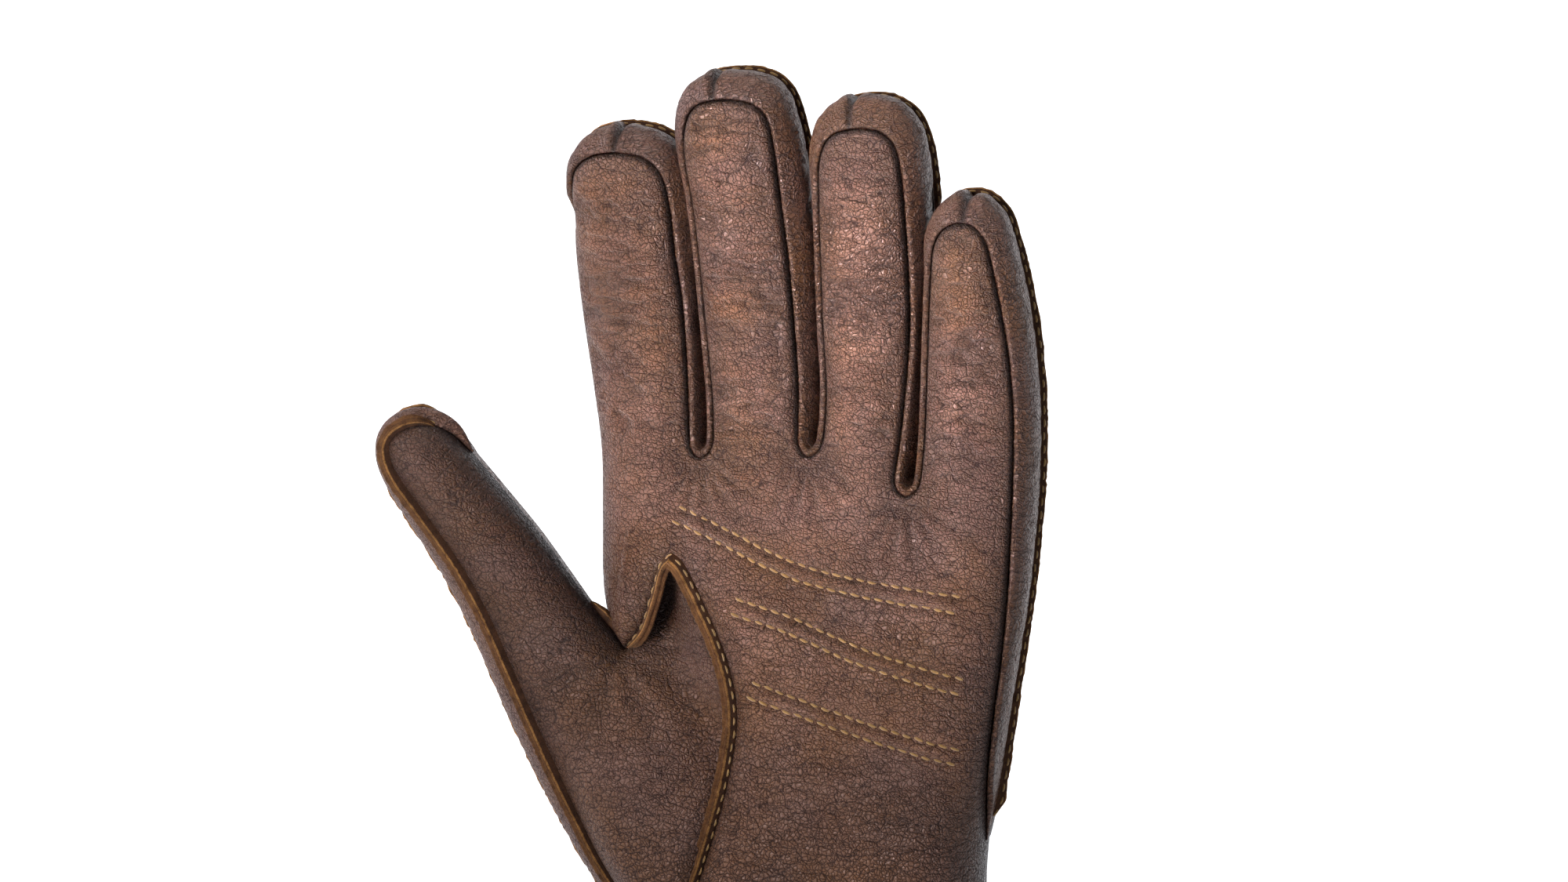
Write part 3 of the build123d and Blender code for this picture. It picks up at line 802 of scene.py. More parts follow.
def build_back():
    outer = np.hstack([strip[:, :2] + strip_n * strip[:, 5:6], strip[:, 3:4], strip[:, 6:7] - 1])
    low = smooth([(x, z, -v, r) for x, z, v, r in RADIAL_LOW])
    low_side = smooth([(x, z, -v, r) for x, z, v, r in BACK_RADIAL])
    up = radial_up.copy()
    up[:, 2] = -up[:, 2]
    ulnar = ulnar_low.copy()
    loop = stack(low, low_side, up, outer, ulnar, hem_run)
    free = np.zeros(len(loop), bool)
    free[-(len(hem_run) - 1) :] = True
    xz, faces = panel_mesh(loop[:, :2])
    x, z = xz[:, 0], xz[:, 1]
    depth, d = rolled(loop[:, :2], loop[:, 2:4], free, xz, front_target(x, z) - 0.4)
    gather = gauss((z - 47) / 5) * np.cos(x * 2 * math.pi / 4.2 + 0.8 * field(x * 0.1, z * 0.2, 0))
    gather = gather * (1 - ramp(np.abs(x), 24, 34)) - 1.3 * gauss((z - 47) / 4) * (1 - ramp(np.abs(x), 26, 36))
    relief = 0.5 * field(x * 0.05, z * 0.04, 91) + 0.8 * gather + soft_drape(x, z, 15)
    own = which_finger(x, z)
    for i, f in enumerate(FINGERS):
        knuckle = HINGE[f"{f}_middle_bend"]
        near = gauss((z - knuckle[2]) / 8) * (own == i)
        relief = relief - 0.30 * creases(x, z, 0.05, 0.30, 111 + i, 3.0) * (0.3 + near) * ramp(z, 150, 165) * (own == i)
        relief = relief + 0.8 * np.exp(-(((z - CROTCH[f] + 8) / 14) ** 2)
            - (((x - HINGE[f"{f}_base_bend"][0]) / 9) ** 2))
    depth = depth + relief * ramp(d, 0.2, 3.5)
    co = curled(x, z, -depth)
    rest = np.stack([x, depth + 200, z], 1)
    # Painted shade in the colour: darker at the seams and in the creases, with painted highlight on raised folds.
    shade = seam_shade(d) * (1 + 0.25 * np.clip(relief, -1.2, 0.8))
    faces = [f[::-1] for f in faces.tolist()]
    return split_pieces("back", co, faces, rest, hand_region(x, z), HAND_NAMES, [LEATHER], None, shade)


# ---------------------------------------------------------------- strips, raw-edge seams and stitches


def strip_section(row, n, rows=15):
    """Points across the strip at one place: a rolled rim at the front seam, then the side, to the back seam."""
    x, z, front, back, bulge, out = row[:6]
    total = front + back
    size = min(1.0, total / 8)
    rim = 0.74 * size
    off, depth = [], []
    for angle in np.radians([225, 180, 140, 100, 60, 20]):
        off.append(rim * 1.25 + rim * math.cos(angle))
        depth.append(front - 0.35 + rim * 1.1 * math.sin(angle))
    for v in np.linspace(0.09, 1, rows):
        start = 1.45 * size
        hump = max(bulge - (start + out) / 2, 0) * math.sin(math.pi * v**0.85) ** 0.8
        off.append((1 - v) * start + v * out + hump)
        depth.append(front - total * v)
    off, depth = np.array(off), np.array(depth)
    return x + n[0] * off, z + n[1] * off, depth


def slot_gap(run, n):
    """Distance from each point of the strip's run to the side that faces it across a slot, or 99."""
    gap = np.hypot(run[:, None, 0] - run[:, 0], run[:, None, 1] - run[:, 1])
    return (gap + 99 * (n @ n.T > -0.5)).min(1)


def tip_seams(run):
    """Distance along a strip from the short seam over each fingertip, where the strip's two ends are joined."""
    step = np.hypot(*np.diff(run[:, :2], axis=0).T).mean()
    out = np.full(len(run), 99.0)
    for at in TIP_SEAMS:
        i = np.argmin(np.hypot(run[:, 0] - at[0], run[:, 1] - at[1]))
        s = (np.arange(len(run)) - i) * step
        out = np.where(np.abs(s) < np.abs(out), s, out)
    return out


def build_strips():
    run = smooth(STRIP_ROWS, STEP * 0.55)
    run_n = -normals_2d(run[:, :2])
    xs, zs, ds = zip(*[strip_section(r, n) for r, n in zip(run, run_n)])
    x, z, depth = np.array(xs), np.array(zs), np.array(ds)
    count = x.shape[1]
    flat_x = np.repeat(run[:, 0], count)
    flat_z = np.repeat(run[:, 1], count)
    xf, zf, df = x.ravel(), z.ravel(), depth.ravel()
    wrinkle = 0.22 * creases(df * 1.2, zf, 0.12, 0.35, 131, 3.0) - 0.12 * noise(np.stack([xf * 0.2, zf * 0.2,
        df * 0.2], 1))
    inner = np.tile(np.clip((np.arange(count) - 6) / 4, 0, 1) * np.clip((count - 1 - np.arange(count)) / 3, 0, 1),
        len(x))
    nx, nz = np.repeat(run_n[:, 0], count), np.repeat(run_n[:, 1], count)
    s = np.repeat(tip_seams(run), count)
    lap = 0.8 * gauss(s + 1.5) + 0.25 * gauss(s - 1.8) - 1.1 * gauss(s / 0.6)
    push = lap * np.tile(np.clip(np.arange(count) / 4 - 0.5, 0, 1), len(x)) - wrinkle * inner
    xf, zf = xf + nx * push, zf + nz * push
    co = curled_as(flat_x, flat_z, xf, zf, df)
    faces = grid_faces(len(x), count)
    rest = np.stack([xf + 0.7 * df, df, zf], 1) + [0, 400, 0]
    # Painted shade in the strip's colour: darker at the front seam's rim, deep in the narrow slots between fingers, and
    # along the short seams over the fingertips.
    v = np.tile(np.clip((np.arange(count) - 5) / (count - 6), 0, 1), len(x))
    deep = np.repeat(1 - ramp(slot_gap(run, run_n), 6, 11), count)
    shade = (0.62 + 0.38 * ramp(v, 0.0, 0.3)) * (1 - 0.75 * deep * ramp(v, 0.15, 0.8))
    shade = shade * np.tile(np.clip(0.12 + 0.44 * np.arange(count), 0, 1), len(x)) * (1 - 0.92 * gauss(s / 0.6))
    return split_pieces("strip", co, faces, rest, hand_region(flat_x, flat_z), HAND_NAMES, [STRIP_LEATHER_SHADED],
        None, shade)


def curled_as(seam_x, seam_z, x, z, depth):
    """Curls points with the finger that their seam belongs to."""
    own = which_finger(seam_x, seam_z)
    out = np.stack([x, -depth, z], 1)
    for i, f in enumerate(FINGERS):
        zs, phi, y = CURL[f]
        a = np.interp(z, zs, phi, left=0)
        y0 = np.interp(z, zs, y, left=0)
        pick = (own == i) & (z > CROTCH[f])
        bent = np.stack([x - SWAY * y0, y0 - depth * np.cos(a), z + (7 - depth) * np.sin(a)], 1)
        out[pick] = bent[pick]
    return out


def grid_faces(rows, columns):
    """Quads of a grid of rows by columns."""
    i, j = np.meshgrid(np.arange(rows - 1), np.arange(columns - 1), indexing="ij")
    a = (i * columns + j).ravel()
    return np.stack([a, a + 1, a + columns + 1, a + columns], 1).tolist()


FIN_POINTS = 12
OUTSEAM_HEIGHT, OUTSEAM_THICK = 1.7, 1.5


def fin(path, up, height, thick, seed):
    """A raised seam of two raw leather edges along a 3-D path. Returns its vertices, faces and face materials."""
    along = np.gradient(path, axis=0)
    along /= np.maximum(np.linalg.norm(along, axis=1), 1e-9)[:, None]
    up = up / np.maximum(np.linalg.norm(up, axis=1), 1e-9)[:, None]
    side = np.cross(along, up)
    side /= np.maximum(np.linalg.norm(side, axis=1), 1e-9)[:, None]
    s = np.arange(len(path)) * 0.35
    wave = noise(np.stack([s * 0.5, s * 0 + seed, s * 0], 1))
    rough = noise(np.stack([s * 3.0, s * 0 + seed + 5, s * 0], 1))
    taper = np.minimum(1, np.minimum(np.arange(len(path)), np.arange(len(path))[::-1]) / 5) ** 0.6
    h = height * taper * (1 + 0.08 * wave + 0.09 * rough)
    t = thick / 2 * (1 + 0.10 * rough) * np.maximum(taper, 0.4)
    profile = [(-1.1, -0.45), (-1.0, 0.25), (-1.0, 0.8), (-0.92, 0.97), (-0.45, 1.03), (-0.08, 0.90), (0.08, 0.90),
        (0.45, 1.04), (0.92, 0.97), (1.0, 0.8), (1.0, 0.25), (1.1, -0.45)]
    rings = []
    for k, (a, b) in enumerate(profile):
        jag = 0.10 * noise(np.stack([s * 4, s * 0 + k * 1.7, s * 0 + seed], 1)) * (0.2 < b)
        lean = side * (a * t)[:, None] + side * (0.25 * wave * b)[:, None]
        rings.append(path + lean + up * (h * b + jag)[:, None])
    co = np.stack(rings, 1).reshape(-1, 3)
    faces = grid_faces(len(path), len(profile))
    # Face materials across the profile: sides, top, and the band at the top corners that carries painted highlight.
    mats = np.tile([0, 0, 2, 1, 1, 0, 1, 1, 2, 0, 0], len(path) - 1)
    return co, faces, mats, side, h, t


def stitches_on(path, out, pitch=2.9, length=2.0, radius=0.33, tilt=0.0):
    """Small rounded stitches along a 3-D path, lying on out's side. Returns vertices, faces and centres' indices."""
    run = np.concatenate([[0], np.cumsum(np.linalg.norm(np.diff(path, axis=0), axis=1))])
    centres = np.arange(pitch * 0.6, run[-1] - pitch * 0.3, pitch)
    co, faces, source = [], [], []
    for c in centres:
        at = np.array([np.interp(c, run, path[:, k]) for k in range(3)])
        ahead = np.array([np.interp(c + 0.6, run, path[:, k]) for k in range(3)])
        i = min(np.searchsorted(run, c), len(path) - 1)
        along = (ahead - at) / max(np.linalg.norm(ahead - at), 1e-9)
        up = out[i] / max(np.linalg.norm(out[i]), 1e-9)
        across = np.cross(along, up)
        along = along + tilt * across
        along /= np.linalg.norm(along)
        jitter = rng.normal(size=3) * 0.10
        start = len(co)
        for t, r in ((-1, 0.15), (-0.82, 0.72), (-0.35, 1.0), (0.35, 1.0), (0.82, 0.72), (1, 0.15)):
            bow = 0.22 * (1 - t * t) - 0.12
            for q in range(7):
                angle = 2 * math.pi * q / 7
                offset = across * math.cos(angle) * radius * r + up * (math.sin(angle) * radius * r * 0.8 + bow)
                co.append(at + along * t * length / 2 * (1 + 0.3 * jitter[0]) + offset + across * jitter[1] * 0.8)
                source.append(i)
        for ring in range(5):
            for q in range(7):
                a, b = start + ring * 7 + q, start + ring * 7 + (q + 1) % 7
                faces.append([a, a + 7, b + 7, b])
    return np.array(co), faces, np.array(source)


def joined(runs):
    """Several (vertices, faces) as one."""
    co, faces, offset = [], [], 0
    for own_co, own_faces in runs:
        co.append(own_co)
        faces += [[v + offset for v in f] for f in own_faces]
        offset += len(own_co)
    return np.vstack(co), faces


def build_back_seam():
    """The outseam between the side strips and the back panel, with its running stitches."""
    keep = np.nonzero(strip[:, 2] + strip[:, 3] > 5)[0]
    part, n = strip[keep], strip_n[keep]
    bx, bz = part[:, 0] + n[:, 0] * part[:, 5], part[:, 1] + n[:, 1] * part[:, 5]
    path = curled_as(part[:, 0], part[:, 1], bx, bz, -part[:, 3])
    ahead = curled_as(part[:, 0], part[:, 1], bx + n[:, 0] * 1.2, bz + n[:, 1] * 1.2, -part[:, 3] - 1.0)
    up = ahead - path
    across = np.hypot(bx[:, None] - bx, bz[:, None] - bz) + 99 * (n @ n.T > -0.5)
    narrow = 0.25 + 0.75 * ramp(across.min(1), 1.5, 5)
    co, faces, mats, side, h, t = fin(path, up, OUTSEAM_HEIGHT, OUTSEAM_THICK, 3)
    count = FIN_POINTS
    spine = np.repeat(path, count, 0)
    co = spine + (co - spine) * np.repeat(narrow, count)[:, None]
    region = np.repeat(hand_region(part[:, 0], part[:, 1]), count)
    split_pieces("outseam", co, faces, co + [0, 600, 0], region, HAND_NAMES, FIN_SKINS, mats)
    up = up / np.linalg.norm(up, axis=1)[:, None]
    for sign, label in ((1, "a"), (-1, "b")):
        wide = narrow > 0.5
        line = path + up * (h * 0.42)[:, None] + side * (sign * (t + 0.05))[:, None]
        line, sides, rows = line[wide], side[wide] * sign, part[wide]
        jumps = np.nonzero(np.linalg.norm(np.diff(line, axis=0), axis=1) > 4)[0]
        starts, ends = [0, *(jumps + 1)], [*(jumps + 1), len(line)]
        runs, regions = [], []
        for a, b in zip(starts, ends):
            if b - a < 8:
                continue
            sco, sfaces, source = stitches_on(line[a:b], sides[a:b], radius=0.27, length=1.9)
            runs.append((sco, sfaces))
            regions.append(hand_region(rows[a:b][source, 0], rows[a:b][source, 1]))
        sco, sfaces = joined(runs)
        split_pieces(f"outseam_stitches_{label}", sco, sfaces, sco, np.concatenate(regions), HAND_NAMES, [THREAD])


def surface_depth(xz):
    """Depth of the front panel's surface at flat points."""
    x, z = xz[:, 0], xz[:, 1]
    depth, d = rolled(front_loop[:, :2], front_loop[:, 2:4], hem_free, xz, front_target(x, z))
    return depth + (finger_wrinkles(x, z) + palm_relief(x, z)) * ramp(d, 0.2, 3.5) + tuck_height(x, z)


def build_tuck_stitches():
    runs = []
    for line in TUCK_LINES:
        n = normals_2d(line[:, :2])
        for sign in (-1, 1):
            row = line[:, :2] + n * sign * TUCK_GAP / 2
            depth = surface_depth(row)
            path = np.stack([row[:, 0], -depth - 0.12, row[:, 1]], 1)
            out = np.tile([0, -1.0, 0], (len(path), 1))
            sco, sfaces, _ = stitches_on(path, out, pitch=2.75, length=2.15, radius=0.36, tilt=0.12)
            runs.append((sco, sfaces))
    co, all_faces = joined(runs)
    obj = make_object("palm_tuck_stitches", co, all_faces, co, [THREAD])
    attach(obj, "hand")
    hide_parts("palm_stitching")
    return obj


# ---------------------------------------------------------------- the thumb

# Rows are a mm along the thumb, p mm across it, depth in front, depth behind, bulge, back offset, radius.
THUMB_RIDGE = [
    (-71.5, -9.0, 0.5), (-60, -11.0, 4.5), (-48, -11.4, 5.6), (-36, -10.8, 6.2), (-22, -9.6, 6.6), (-9, -8.0,
        6.9), (3, -6.4, 6.9),
    (14, -5.1, 6.8), (26, -4.7, 6.4), (38, -5.0, 5.8), (47, -5.4, 5.2),
]
THUMB_CAP = [(52.5, -4.8), (56.0, -2.6), (57.0, 1.6), (55.4, 5.6), (51.5, 8.3), (46, 9.5)]
THUMB_RIGHT = [(46, 9.5), (36, 10.8), (25, 12.1), (14, 13.2), (4.5, 14.1), (-2, 15.2), (-7.7, 16.3)]


def thumb_strip_rows():
    rows = []
    for a, p, width in THUMB_RIDGE:
        core = thumb_core(a)
        sink = ramp(a, -74, -52)
        front = core + 9.3 * sink
        rows.append((a, p, front, -core + 2.0 * sink, width + 0.4, width, 8))
    for k, (a, p) in enumerate(THUMB_CAP):
        core = thumb_core(a)
        share = 1 - k / (len(THUMB_CAP) - 1)
        rows.append((a, p, core + 2.0 + 6.5 * share, -core + 1.5 * share - 0.5 * (1 - share),
            0.4 + 4.6 * share**0.5, 3.2 * share, 8))
    return rows


def thumb_target(a, p, z):
    """Depth of the thumb piece's front: the thumb itself, the ball of the thumb, and the valley by the palm."""
    core = thumb_core(a)
    palm = np.interp(z, HAND_SECTIONS[:, 0], HAND_SECTIONS[:, 1])
    thumb = core + 12.6 - 0.018 * np.maximum(np.abs(p + 1) - 4, 0) ** 2
    ball = 20.6 - 0.014 * (p - 3) ** 2 - 0.0022 * (a + 34) ** 2
    mix = ramp(a, -30, -4)
    body = np.maximum(ball, core + 13.5 - 0.02 * (p + 2) ** 2) * (1 - mix) + thumb * mix
    side = ramp(p, 13, 30)
    valley = palm - 4.2 * gauss((p - 26) / 6) - 6.0 * np.exp(-(((a - 1) / 8) ** 2 + ((p - 27) / 8) ** 2))
    return body * (1 - side) + np.minimum(valley, 17) * side


def build_thumb():
    rows = smooth(thumb_strip_rows())
    sx, sz = thumb_flat(rows[:, 0], rows[:, 1])
    run = rows.copy()
    run[:, 0], run[:, 1] = sx, sz
    n = -normals_2d(run[:, :2])
    right = [(a, p, thumb_core(a) + 1.5, 8) for a, p in THUMB_RIGHT]
    right = smooth(right)
    rx, rz = thumb_flat(right[:, 0], right[:, 1])
    right[:, 0], right[:, 1] = rx, rz
    right[-1, :2] = RADIAL_UP[0][:2]
    notch_back = smooth([(x, z, d - 5.0, r) for x, z, d, r in NOTCH[::-1]])
    tear_back = smooth([(x, z, d - 0.6 - 4.4 * ramp(z, 118, 138), 5) for x, z, d, r in TEARDROP[::-1]])
    notch_back[0, :2], tear_back[-1, :2] = RADIAL_UP[0][:2], TEARDROP[0][:2]
    join = smooth([(TEARDROP[0][0], TEARDROP[0][1], 3, 6), (run[0, 0], run[0, 1], run[0, 2], 6)])
    loop = stack(run[:, [0, 1, 2, 6]], right, notch_back, tear_back, join)
    xz, faces = panel_mesh(loop[:, :2])
    x, z = xz[:, 0], xz[:, 1]
    a, p = thumb_local(x, z)
    depth, d = rolled(loop[:, :2], loop[:, 2:4], np.zeros(len(loop), bool), xz, thumb_target(a, p, z))
    wrinkle = -0.30 * creases(a, p, 0.30, 0.07, 150, 3.0) * gauss((a - 4) / 18) * ramp(p, -8, 2)
    wrinkle -= 0.22 * creases(a + p * 0.5, p - a * 0.35, 0.05, 0.22, 160, 3.2) * gauss((a + 12) / 22)
    fan = np.arctan2(x + 42, 117 - z + 0.01)
    reach = np.hypot(x + 42, z - 117)
    wrinkle += 0.55 * np.cos(fan * 9 + field(x * 0.1, z * 0.1, 0)) * gauss((reach - 10) / 12) * (z < 118)
    wrinkle += 0.35 * field(x * 0.06, z * 0.06, 170)
    depth = depth + wrinkle * ramp(d, 0.3, 3.5)
    co = np.stack([x, -depth, z], 1)
    rest = np.stack([x, -depth + 800, z], 1)
    # Painted shade in the thumb piece's colour: darker at its seams, in its wrinkles and in the hollow by the notch,
    # and the whole piece darkened most on the thumb beyond its ball, with painted highlight on raised folds.
    notch_hollow_shade = np.exp(-(((a - 1) / 10) ** 2 + ((p - 26) / 7) ** 2))
    shade = seam_shade(d) * (1 + 0.35 * np.clip(wrinkle, -1.2, 0.8)) * (1 - 0.7 * notch_hollow_shade) * (0.88 - 0.22 * ramp(a,
        -30, -8))
    pieces = split_pieces("thumb_front", co, faces.tolist(), rest, thumb_region(x, z), THUMB_NAMES, [LEATHER],
        None, shade)
    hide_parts("thumb_root_front", "thumb_base_fold")
    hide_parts("thumb_front_lower", "thumb_middle_fold", "thumb_lining_lower")
    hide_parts("thumb_front_upper", "thumb_touch_patch", "thumb_lining_upper")

    xs, zs, ds = zip(*[strip_section(r, k) for r, k in zip(run, n)])
    x, z, depth = np.array(xs), np.array(zs), np.array(ds)
    count = x.shape[1]
    flat = thumb_region(np.repeat(run[:, 0], count), np.repeat(run[:, 1], count))
    xf, zf, df = x.ravel(), z.ravel(), depth.ravel()
    co = np.stack([xf, -df, zf], 1)
    rest = np.stack([xf + df * 0.5, df + 900, zf], 1)
    pieces = split_pieces("thumb_strip", co, grid_faces(len(x), count), rest, flat, THUMB_NAMES, [STRIP_LEATHER_SHADED])
    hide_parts("thumb_side_strips_lower")
    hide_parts("thumb_side_strips_upper")

    edge = np.hstack([run[:, :2] + n * run[:, 5:6], run[:, 3:4], run[:, 6:7]])
    back_right = right.copy()
    back_right[:, 2] = -back_right[:, 2]
    inner = smooth([(*RADIAL_UP[0][:2], -8, 6), (-30, 108, 4, 6), (-24, 80, 4, 6), (-28, 56, 3, 6),
        (run[0, 0], run[0, 1], run[0, 3], 6)])
    inner[0, :2] = back_right[-1, :2]
    loop = stack(edge, back_right, inner)
    xz, faces = panel_mesh(loop[:, :2])
    x, z = xz[:, 0], xz[:, 1]
    a, p = thumb_local(x, z)
    target = -thumb_core(a) + 12.5 + 1.5 * ramp(-a, 5, 30) - 0.012 * (p + 4) ** 2 - 3.5 * ramp(-a, 40, 70)
    depth, d = rolled(loop[:, :2], loop[:, 2:4], np.zeros(len(loop), bool), xz, target)
    depth = depth + 0.4 * field(x * 0.06, z * 0.06, 190) * ramp(d, 0.3, 3)
    co = np.stack([x, depth, z], 1)
    pieces = split_pieces("thumb_back", co, [f[::-1] for f in faces.tolist()], co + [0, 1100, 0],
        thumb_region(x, z), THUMB_NAMES, [LEATHER])
    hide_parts("thumb_root_back")
    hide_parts("thumb_back_lower")
    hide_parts("thumb_back_upper")

    # Raised raw-edge seams: the front ridge, the outer ridge, and the teardrop on the palm
    keep = slice(2, len(run) - 12)
    fronts = np.stack([run[:, 0], -run[:, 2], run[:, 1]], 1)[keep]
    outs = np.stack([n[:, 0] * 0.75, np.full(len(n), -1.0), n[:, 1] * 0.75], 1)[keep]
    add_fin("thumb_front_ridge", fronts, outs, 2.8, 2.3, 21, run[keep], thumb_region, THUMB_NAMES, (-1,))
    backs = np.stack([edge[:, 0], edge[:, 2], edge[:, 1]], 1)[keep]
    outs = np.stack([n[:, 0], np.full(len(n), 0.25), n[:, 1]], 1)[keep]
    add_fin("thumb_outer_ridge", backs, outs, 2.4, 2.0, 31, run[keep], thumb_region, THUMB_NAMES, (1, -1))

    side = right[right[:, 1] < 128]
    side_n = -normals_2d(side[:, :2])
    path = np.stack([side[:, 0], -side[:, 2] + 1.0, side[:, 1]], 1)
    outs = np.stack([side_n[:, 0], np.full(len(side), -0.2), side_n[:, 1]], 1)
    add_fin("crotch_ridge", path, outs, 1.8, 1.7, 51, side, thumb_region, THUMB_NAMES, ())

    ridge = np.vstack([smooth([r for r in TEARDROP[1:]])[:-1], smooth(NOTCH)])
    rn = normals_2d(ridge[:, :2])
    path = np.stack([ridge[:, 0], -ridge[:, 2] + 0.5, ridge[:, 1]], 1)
    outs = np.stack([-rn[:, 0] * 0.55, np.full(len(rn), -1.0), -rn[:, 1] * 0.55], 1)
    add_fin("palm_ridge", path, outs, 3.8, 2.0, 41, ridge, lambda x, z: np.zeros(len(x), int), ["hand"], (1, -1))


def add_fin(name, path, up, height, thick, seed, flat, region_of, names, sides):
    co, faces, mats, side, h, t = fin(path, up, height, thick, seed)
    region = np.repeat(region_of(flat[:, 0], flat[:, 1]), FIN_POINTS)
    split_pieces(name, co, faces, co + [0, 1300, 0], region, names, FIN_SKINS, mats)
    up = up / np.linalg.norm(up, axis=1)[:, None]
    for sign in sides:
        line = path + up * (h * 0.5)[:, None] + side * (sign * (t + 0.04))[:, None]
        sco, sfaces, source = stitches_on(line, side * sign, radius=0.27, length=1.9)
        label = "a" if sign > 0 else "b"
        split_pieces(f"{name}_stitches_{label}", sco, sfaces, sco, region_of(flat[source, 0], flat[source, 1]),
            names, [THREAD])


# ---------------------------------------------------------------- cuff


HEM_HALF_X, HEM_HALF_Y, HEM_CENTRE = 47.7, 24.0, -0.25


def ring_points(half_x, half_y, centre_x, z, count=220):
    """A rounded outline round the hand at one height."""
    angle = np.linspace(0, 2 * math.pi, count, endpoint=False)
    c, s = np.cos(angle), np.sin(angle)
    power = 0.62
    return np.stack([centre_x + half_x * np.sign(c) * np.abs(c) ** power, half_y * np.sign(s) * np.abs(s) ** 0.8,
        np.full(count, z)], 1)


def hem_ring(out, z, count=220):
    """The cuff's outline at height z, out mm outside the leather."""
    return ring_points(HEM_HALF_X - 0.22 * z + out, HEM_HALF_Y - 0.114 * z + out, HEM_CENTRE, z, count)


def tube(name, rings, mats, body, seed, outward=True):
    count = len(rings[0])
    co = np.vstack(rings)
    faces = []
    for r in range(len(rings) - 1):
        for q in range(count):
            a, b = r * count + q, r * count + (q + 1) % count
            face = [a, b, b + count, a + count]
            faces.append(face if outward else face[::-1])
    obj = make_object(name, co, faces, co + [0, seed, 0], mats, None, tri_normals(co, faces))
    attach(obj, body)
    return obj


def build_cuff():
    rings = []
    for out, z in ((-2.2, 9.5), (-2.4, 6), (-2.4, 1.2), (-1.6, 0.2), (-0.4, 0.0), (0.5, 0.35), (0.9, 1.4), (0.9, 5),
        (0.75, 8.2), (0.2, 9.0), (-0.8, 9.3)):
        rings.append(hem_ring(out, z))
    hem = tube("cuff_hem_band", rings, [LEATHER], "hand", 1500)
    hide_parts("cuff_hem")
    stitched = hem_ring(0.9, 7.0, 440)
    out = stitched * [1, 3, 0]
    loop = np.vstack([stitched, stitched[:1]])
    sco, sfaces, _ = stitches_on(loop, np.vstack([out, out[:1]]), radius=0.33)
    obj = make_object("cuff_hem_stitches", sco, sfaces, sco, [THREAD])
    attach(obj, "hand")
    rings = []
    for z in np.arange(2, 112, 2.0):
        half_y = np.interp(z, HAND_SECTIONS[:, 0], HAND_SECTIONS[:, 1]) - 3.4 - 4 * ramp(z, 25, 44)
        half_x = np.interp(z, [0, 44, 70, 92, 120, 160], [47.7, 38, 39, 43, 44, 46]) - 3.4 - 3 * ramp(z, 25, 44)
        ring = ring_points(half_x, half_y, np.interp(z, [0, 44, 92, 120, 160], [-0.25, -1, -3, 1, -2]), z)
        pile = 0.45 * noise(ring * 0.35 + 7) + 0.3 * noise(ring * 0.9)
        ring[:, :2] *= (1 - pile / 40)[:, None]
        rings.append(ring)
    lining = tube("lining_tube", rings, [FLEECE], "hand", 1700, outward=False)
    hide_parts("hand_lining", "wrist_elastic")
    return lining


# ---------------------------------------------------------------- build it all

def build_root_tuck():
    """The small tuck of leather that closes the seam's end at the root of the thumb."""
    rings = []
    turn = np.linspace(0, 2 * math.pi, 32, endpoint=False)
    for lat in np.radians(np.arange(-84, 85, 12)):
        wide = math.cos(lat)
        rings.append(np.stack([-35.5 + 2.9 * wide * np.cos(turn), -1.2 + 6.6 * wide * np.sin(turn),
            np.full(32, 49.5 + 6.2 * math.sin(lat))], 1))
    tube("thumb_root_tuck", rings, [LEATHER], "hand", 1900)


front = build_front()
back = build_back()
strips = build_strips()
build_back_seam()
build_tuck_stitches()
build_thumb()
build_root_tuck()
build_cuff()

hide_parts("palm_panel", "finger_base_folds")
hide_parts("back_panel", "inner_side_strip")
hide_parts("outer_side_strip", "crotch_gussets")
for f in FINGERS:
    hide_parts(f"{f}_front_lower", f"{f}_middle_fold", f"{f}_lining_lower")
    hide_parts(f"{f}_front_upper", f"{f}_lining_upper")
    for part in ("lower", "upper"):
        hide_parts(f"{f}_back_{part}")
        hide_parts(f"{f}_side_strips_{part}")
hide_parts("index_touch_patch")


# ---------------------------------------------------------------- floor, light and camera


def stage_floor():
    """A pale floor that sweeps up behind the glove."""
    rows = []
    for t in np.linspace(0, 1, 40):
        rows.append((-6 + 10 * t, 0.0) if t < 0.8 else (2 + 2.4 * math.sin((t - 0.8) / 0.2 * math.pi / 2),
            2.4 * (1 - math.cos((t - 0.8) / 0.2 * math.pi / 2))))
    rows.append((4.4, 8.0))
    co = np.array([(x, y, z - 0.0002) for y, z in rows for x in (-9.0, 9.0)]) / MM
    obj = make_object("floor", co, grid_faces(len(rows), 2), co, [])
    m, shader = material("pale_floor")
    shader.inputs["Base Color"].default_value = (0.86, 0.87, 0.885, 1)
    shader.inputs["Roughness"].default_value = 0.9
    obj.data.materials.append(m)
    obj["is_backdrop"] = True


stage_floor()


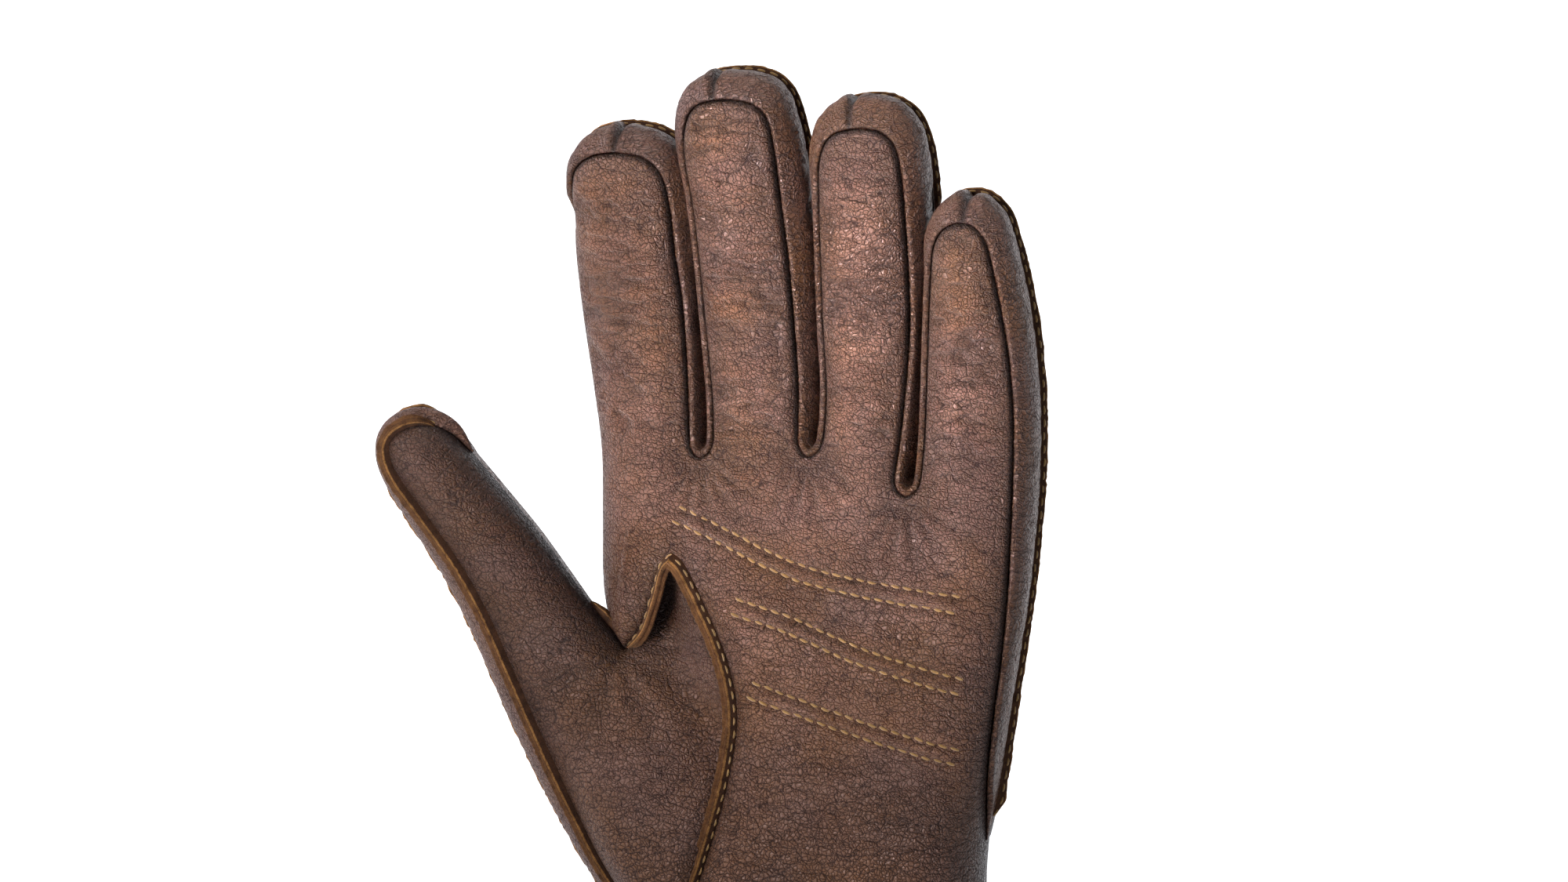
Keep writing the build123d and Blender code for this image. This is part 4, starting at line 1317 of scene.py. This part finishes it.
def area_light(name, at, target, size, power, colour, spread=180):
    data = bpy.data.lights.new(name, "AREA")
    data.shape, data.size, data.energy, data.color = "SQUARE", size, power, colour
    data.spread = math.radians(spread)
    obj = bpy.data.objects.new(name, data)
    obj.location = at
    obj.rotation_euler = (Vector(target) - Vector(at)).to_track_quat("-Z", "Y").to_euler()
    bpy.context.scene.collection.objects.link(obj)


area_light("key", (-0.50, -0.90, 0.50), (0.0, 0, 0.18), 0.30, 7.0, (1.0, 0.98, 0.975))
area_light("finger_key", (-0.28, -1.0, 0.07), (0.015, 0, 0.205), 0.12, 0.15, (1.0, 0.97, 1.0), 11)
area_light("fill", (1.5, -1.1, 0.3), (0, 0, 0.15), 0.8, 1.2, (0.95, 0.98, 1.0))
area_light("side", (-1.1, 0.15, 0.5), (0, 0, 0.15), 0.6, 5, (0.88, 0.90, 1.0))
area_light("top", (0.1, 0.1, 1.3), (0, 0, 0.1), 0.5, 5, (1.0, 1.0, 1.0))
area_light("backdrop", (0, 1.2, 2.2), (0, 4.0, 0.8), 3.0, 210, (0.97, 0.985, 1.0))
world = bpy.data.worlds.new("studio")
world.use_nodes = True
world.node_tree.nodes["Background"].inputs[0].default_value = (0.93, 0.96, 1.0, 1)
world.node_tree.nodes["Background"].inputs[1].default_value = 0.03
bpy.context.scene.world = world

AZIMUTH, ELEVATION, DISTANCE = math.radians(16), math.radians(5), 1.5
camera_data = bpy.data.cameras.new("camera")
camera_data.sensor_width = 36
camera_data.lens = 36 * DISTANCE / 0.345
camera = bpy.data.objects.new("camera", camera_data)
aim = Vector((-0.009 * math.cos(AZIMUTH), -0.009 * math.sin(AZIMUTH), 0.1632))
away = Vector((math.sin(AZIMUTH) * math.cos(ELEVATION), -math.cos(AZIMUTH) * math.cos(ELEVATION), math.sin(ELEVATION)))
camera.location = aim + away * DISTANCE
camera.rotation_euler = (-away).to_track_quat("-Z", "Y").to_euler()
bpy.context.scene.collection.objects.link(camera)
bpy.context.scene.camera = camera
bpy.context.scene.view_settings.view_transform = "Standard"
bpy.context.scene.view_settings.exposure = 0.0

low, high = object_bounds()
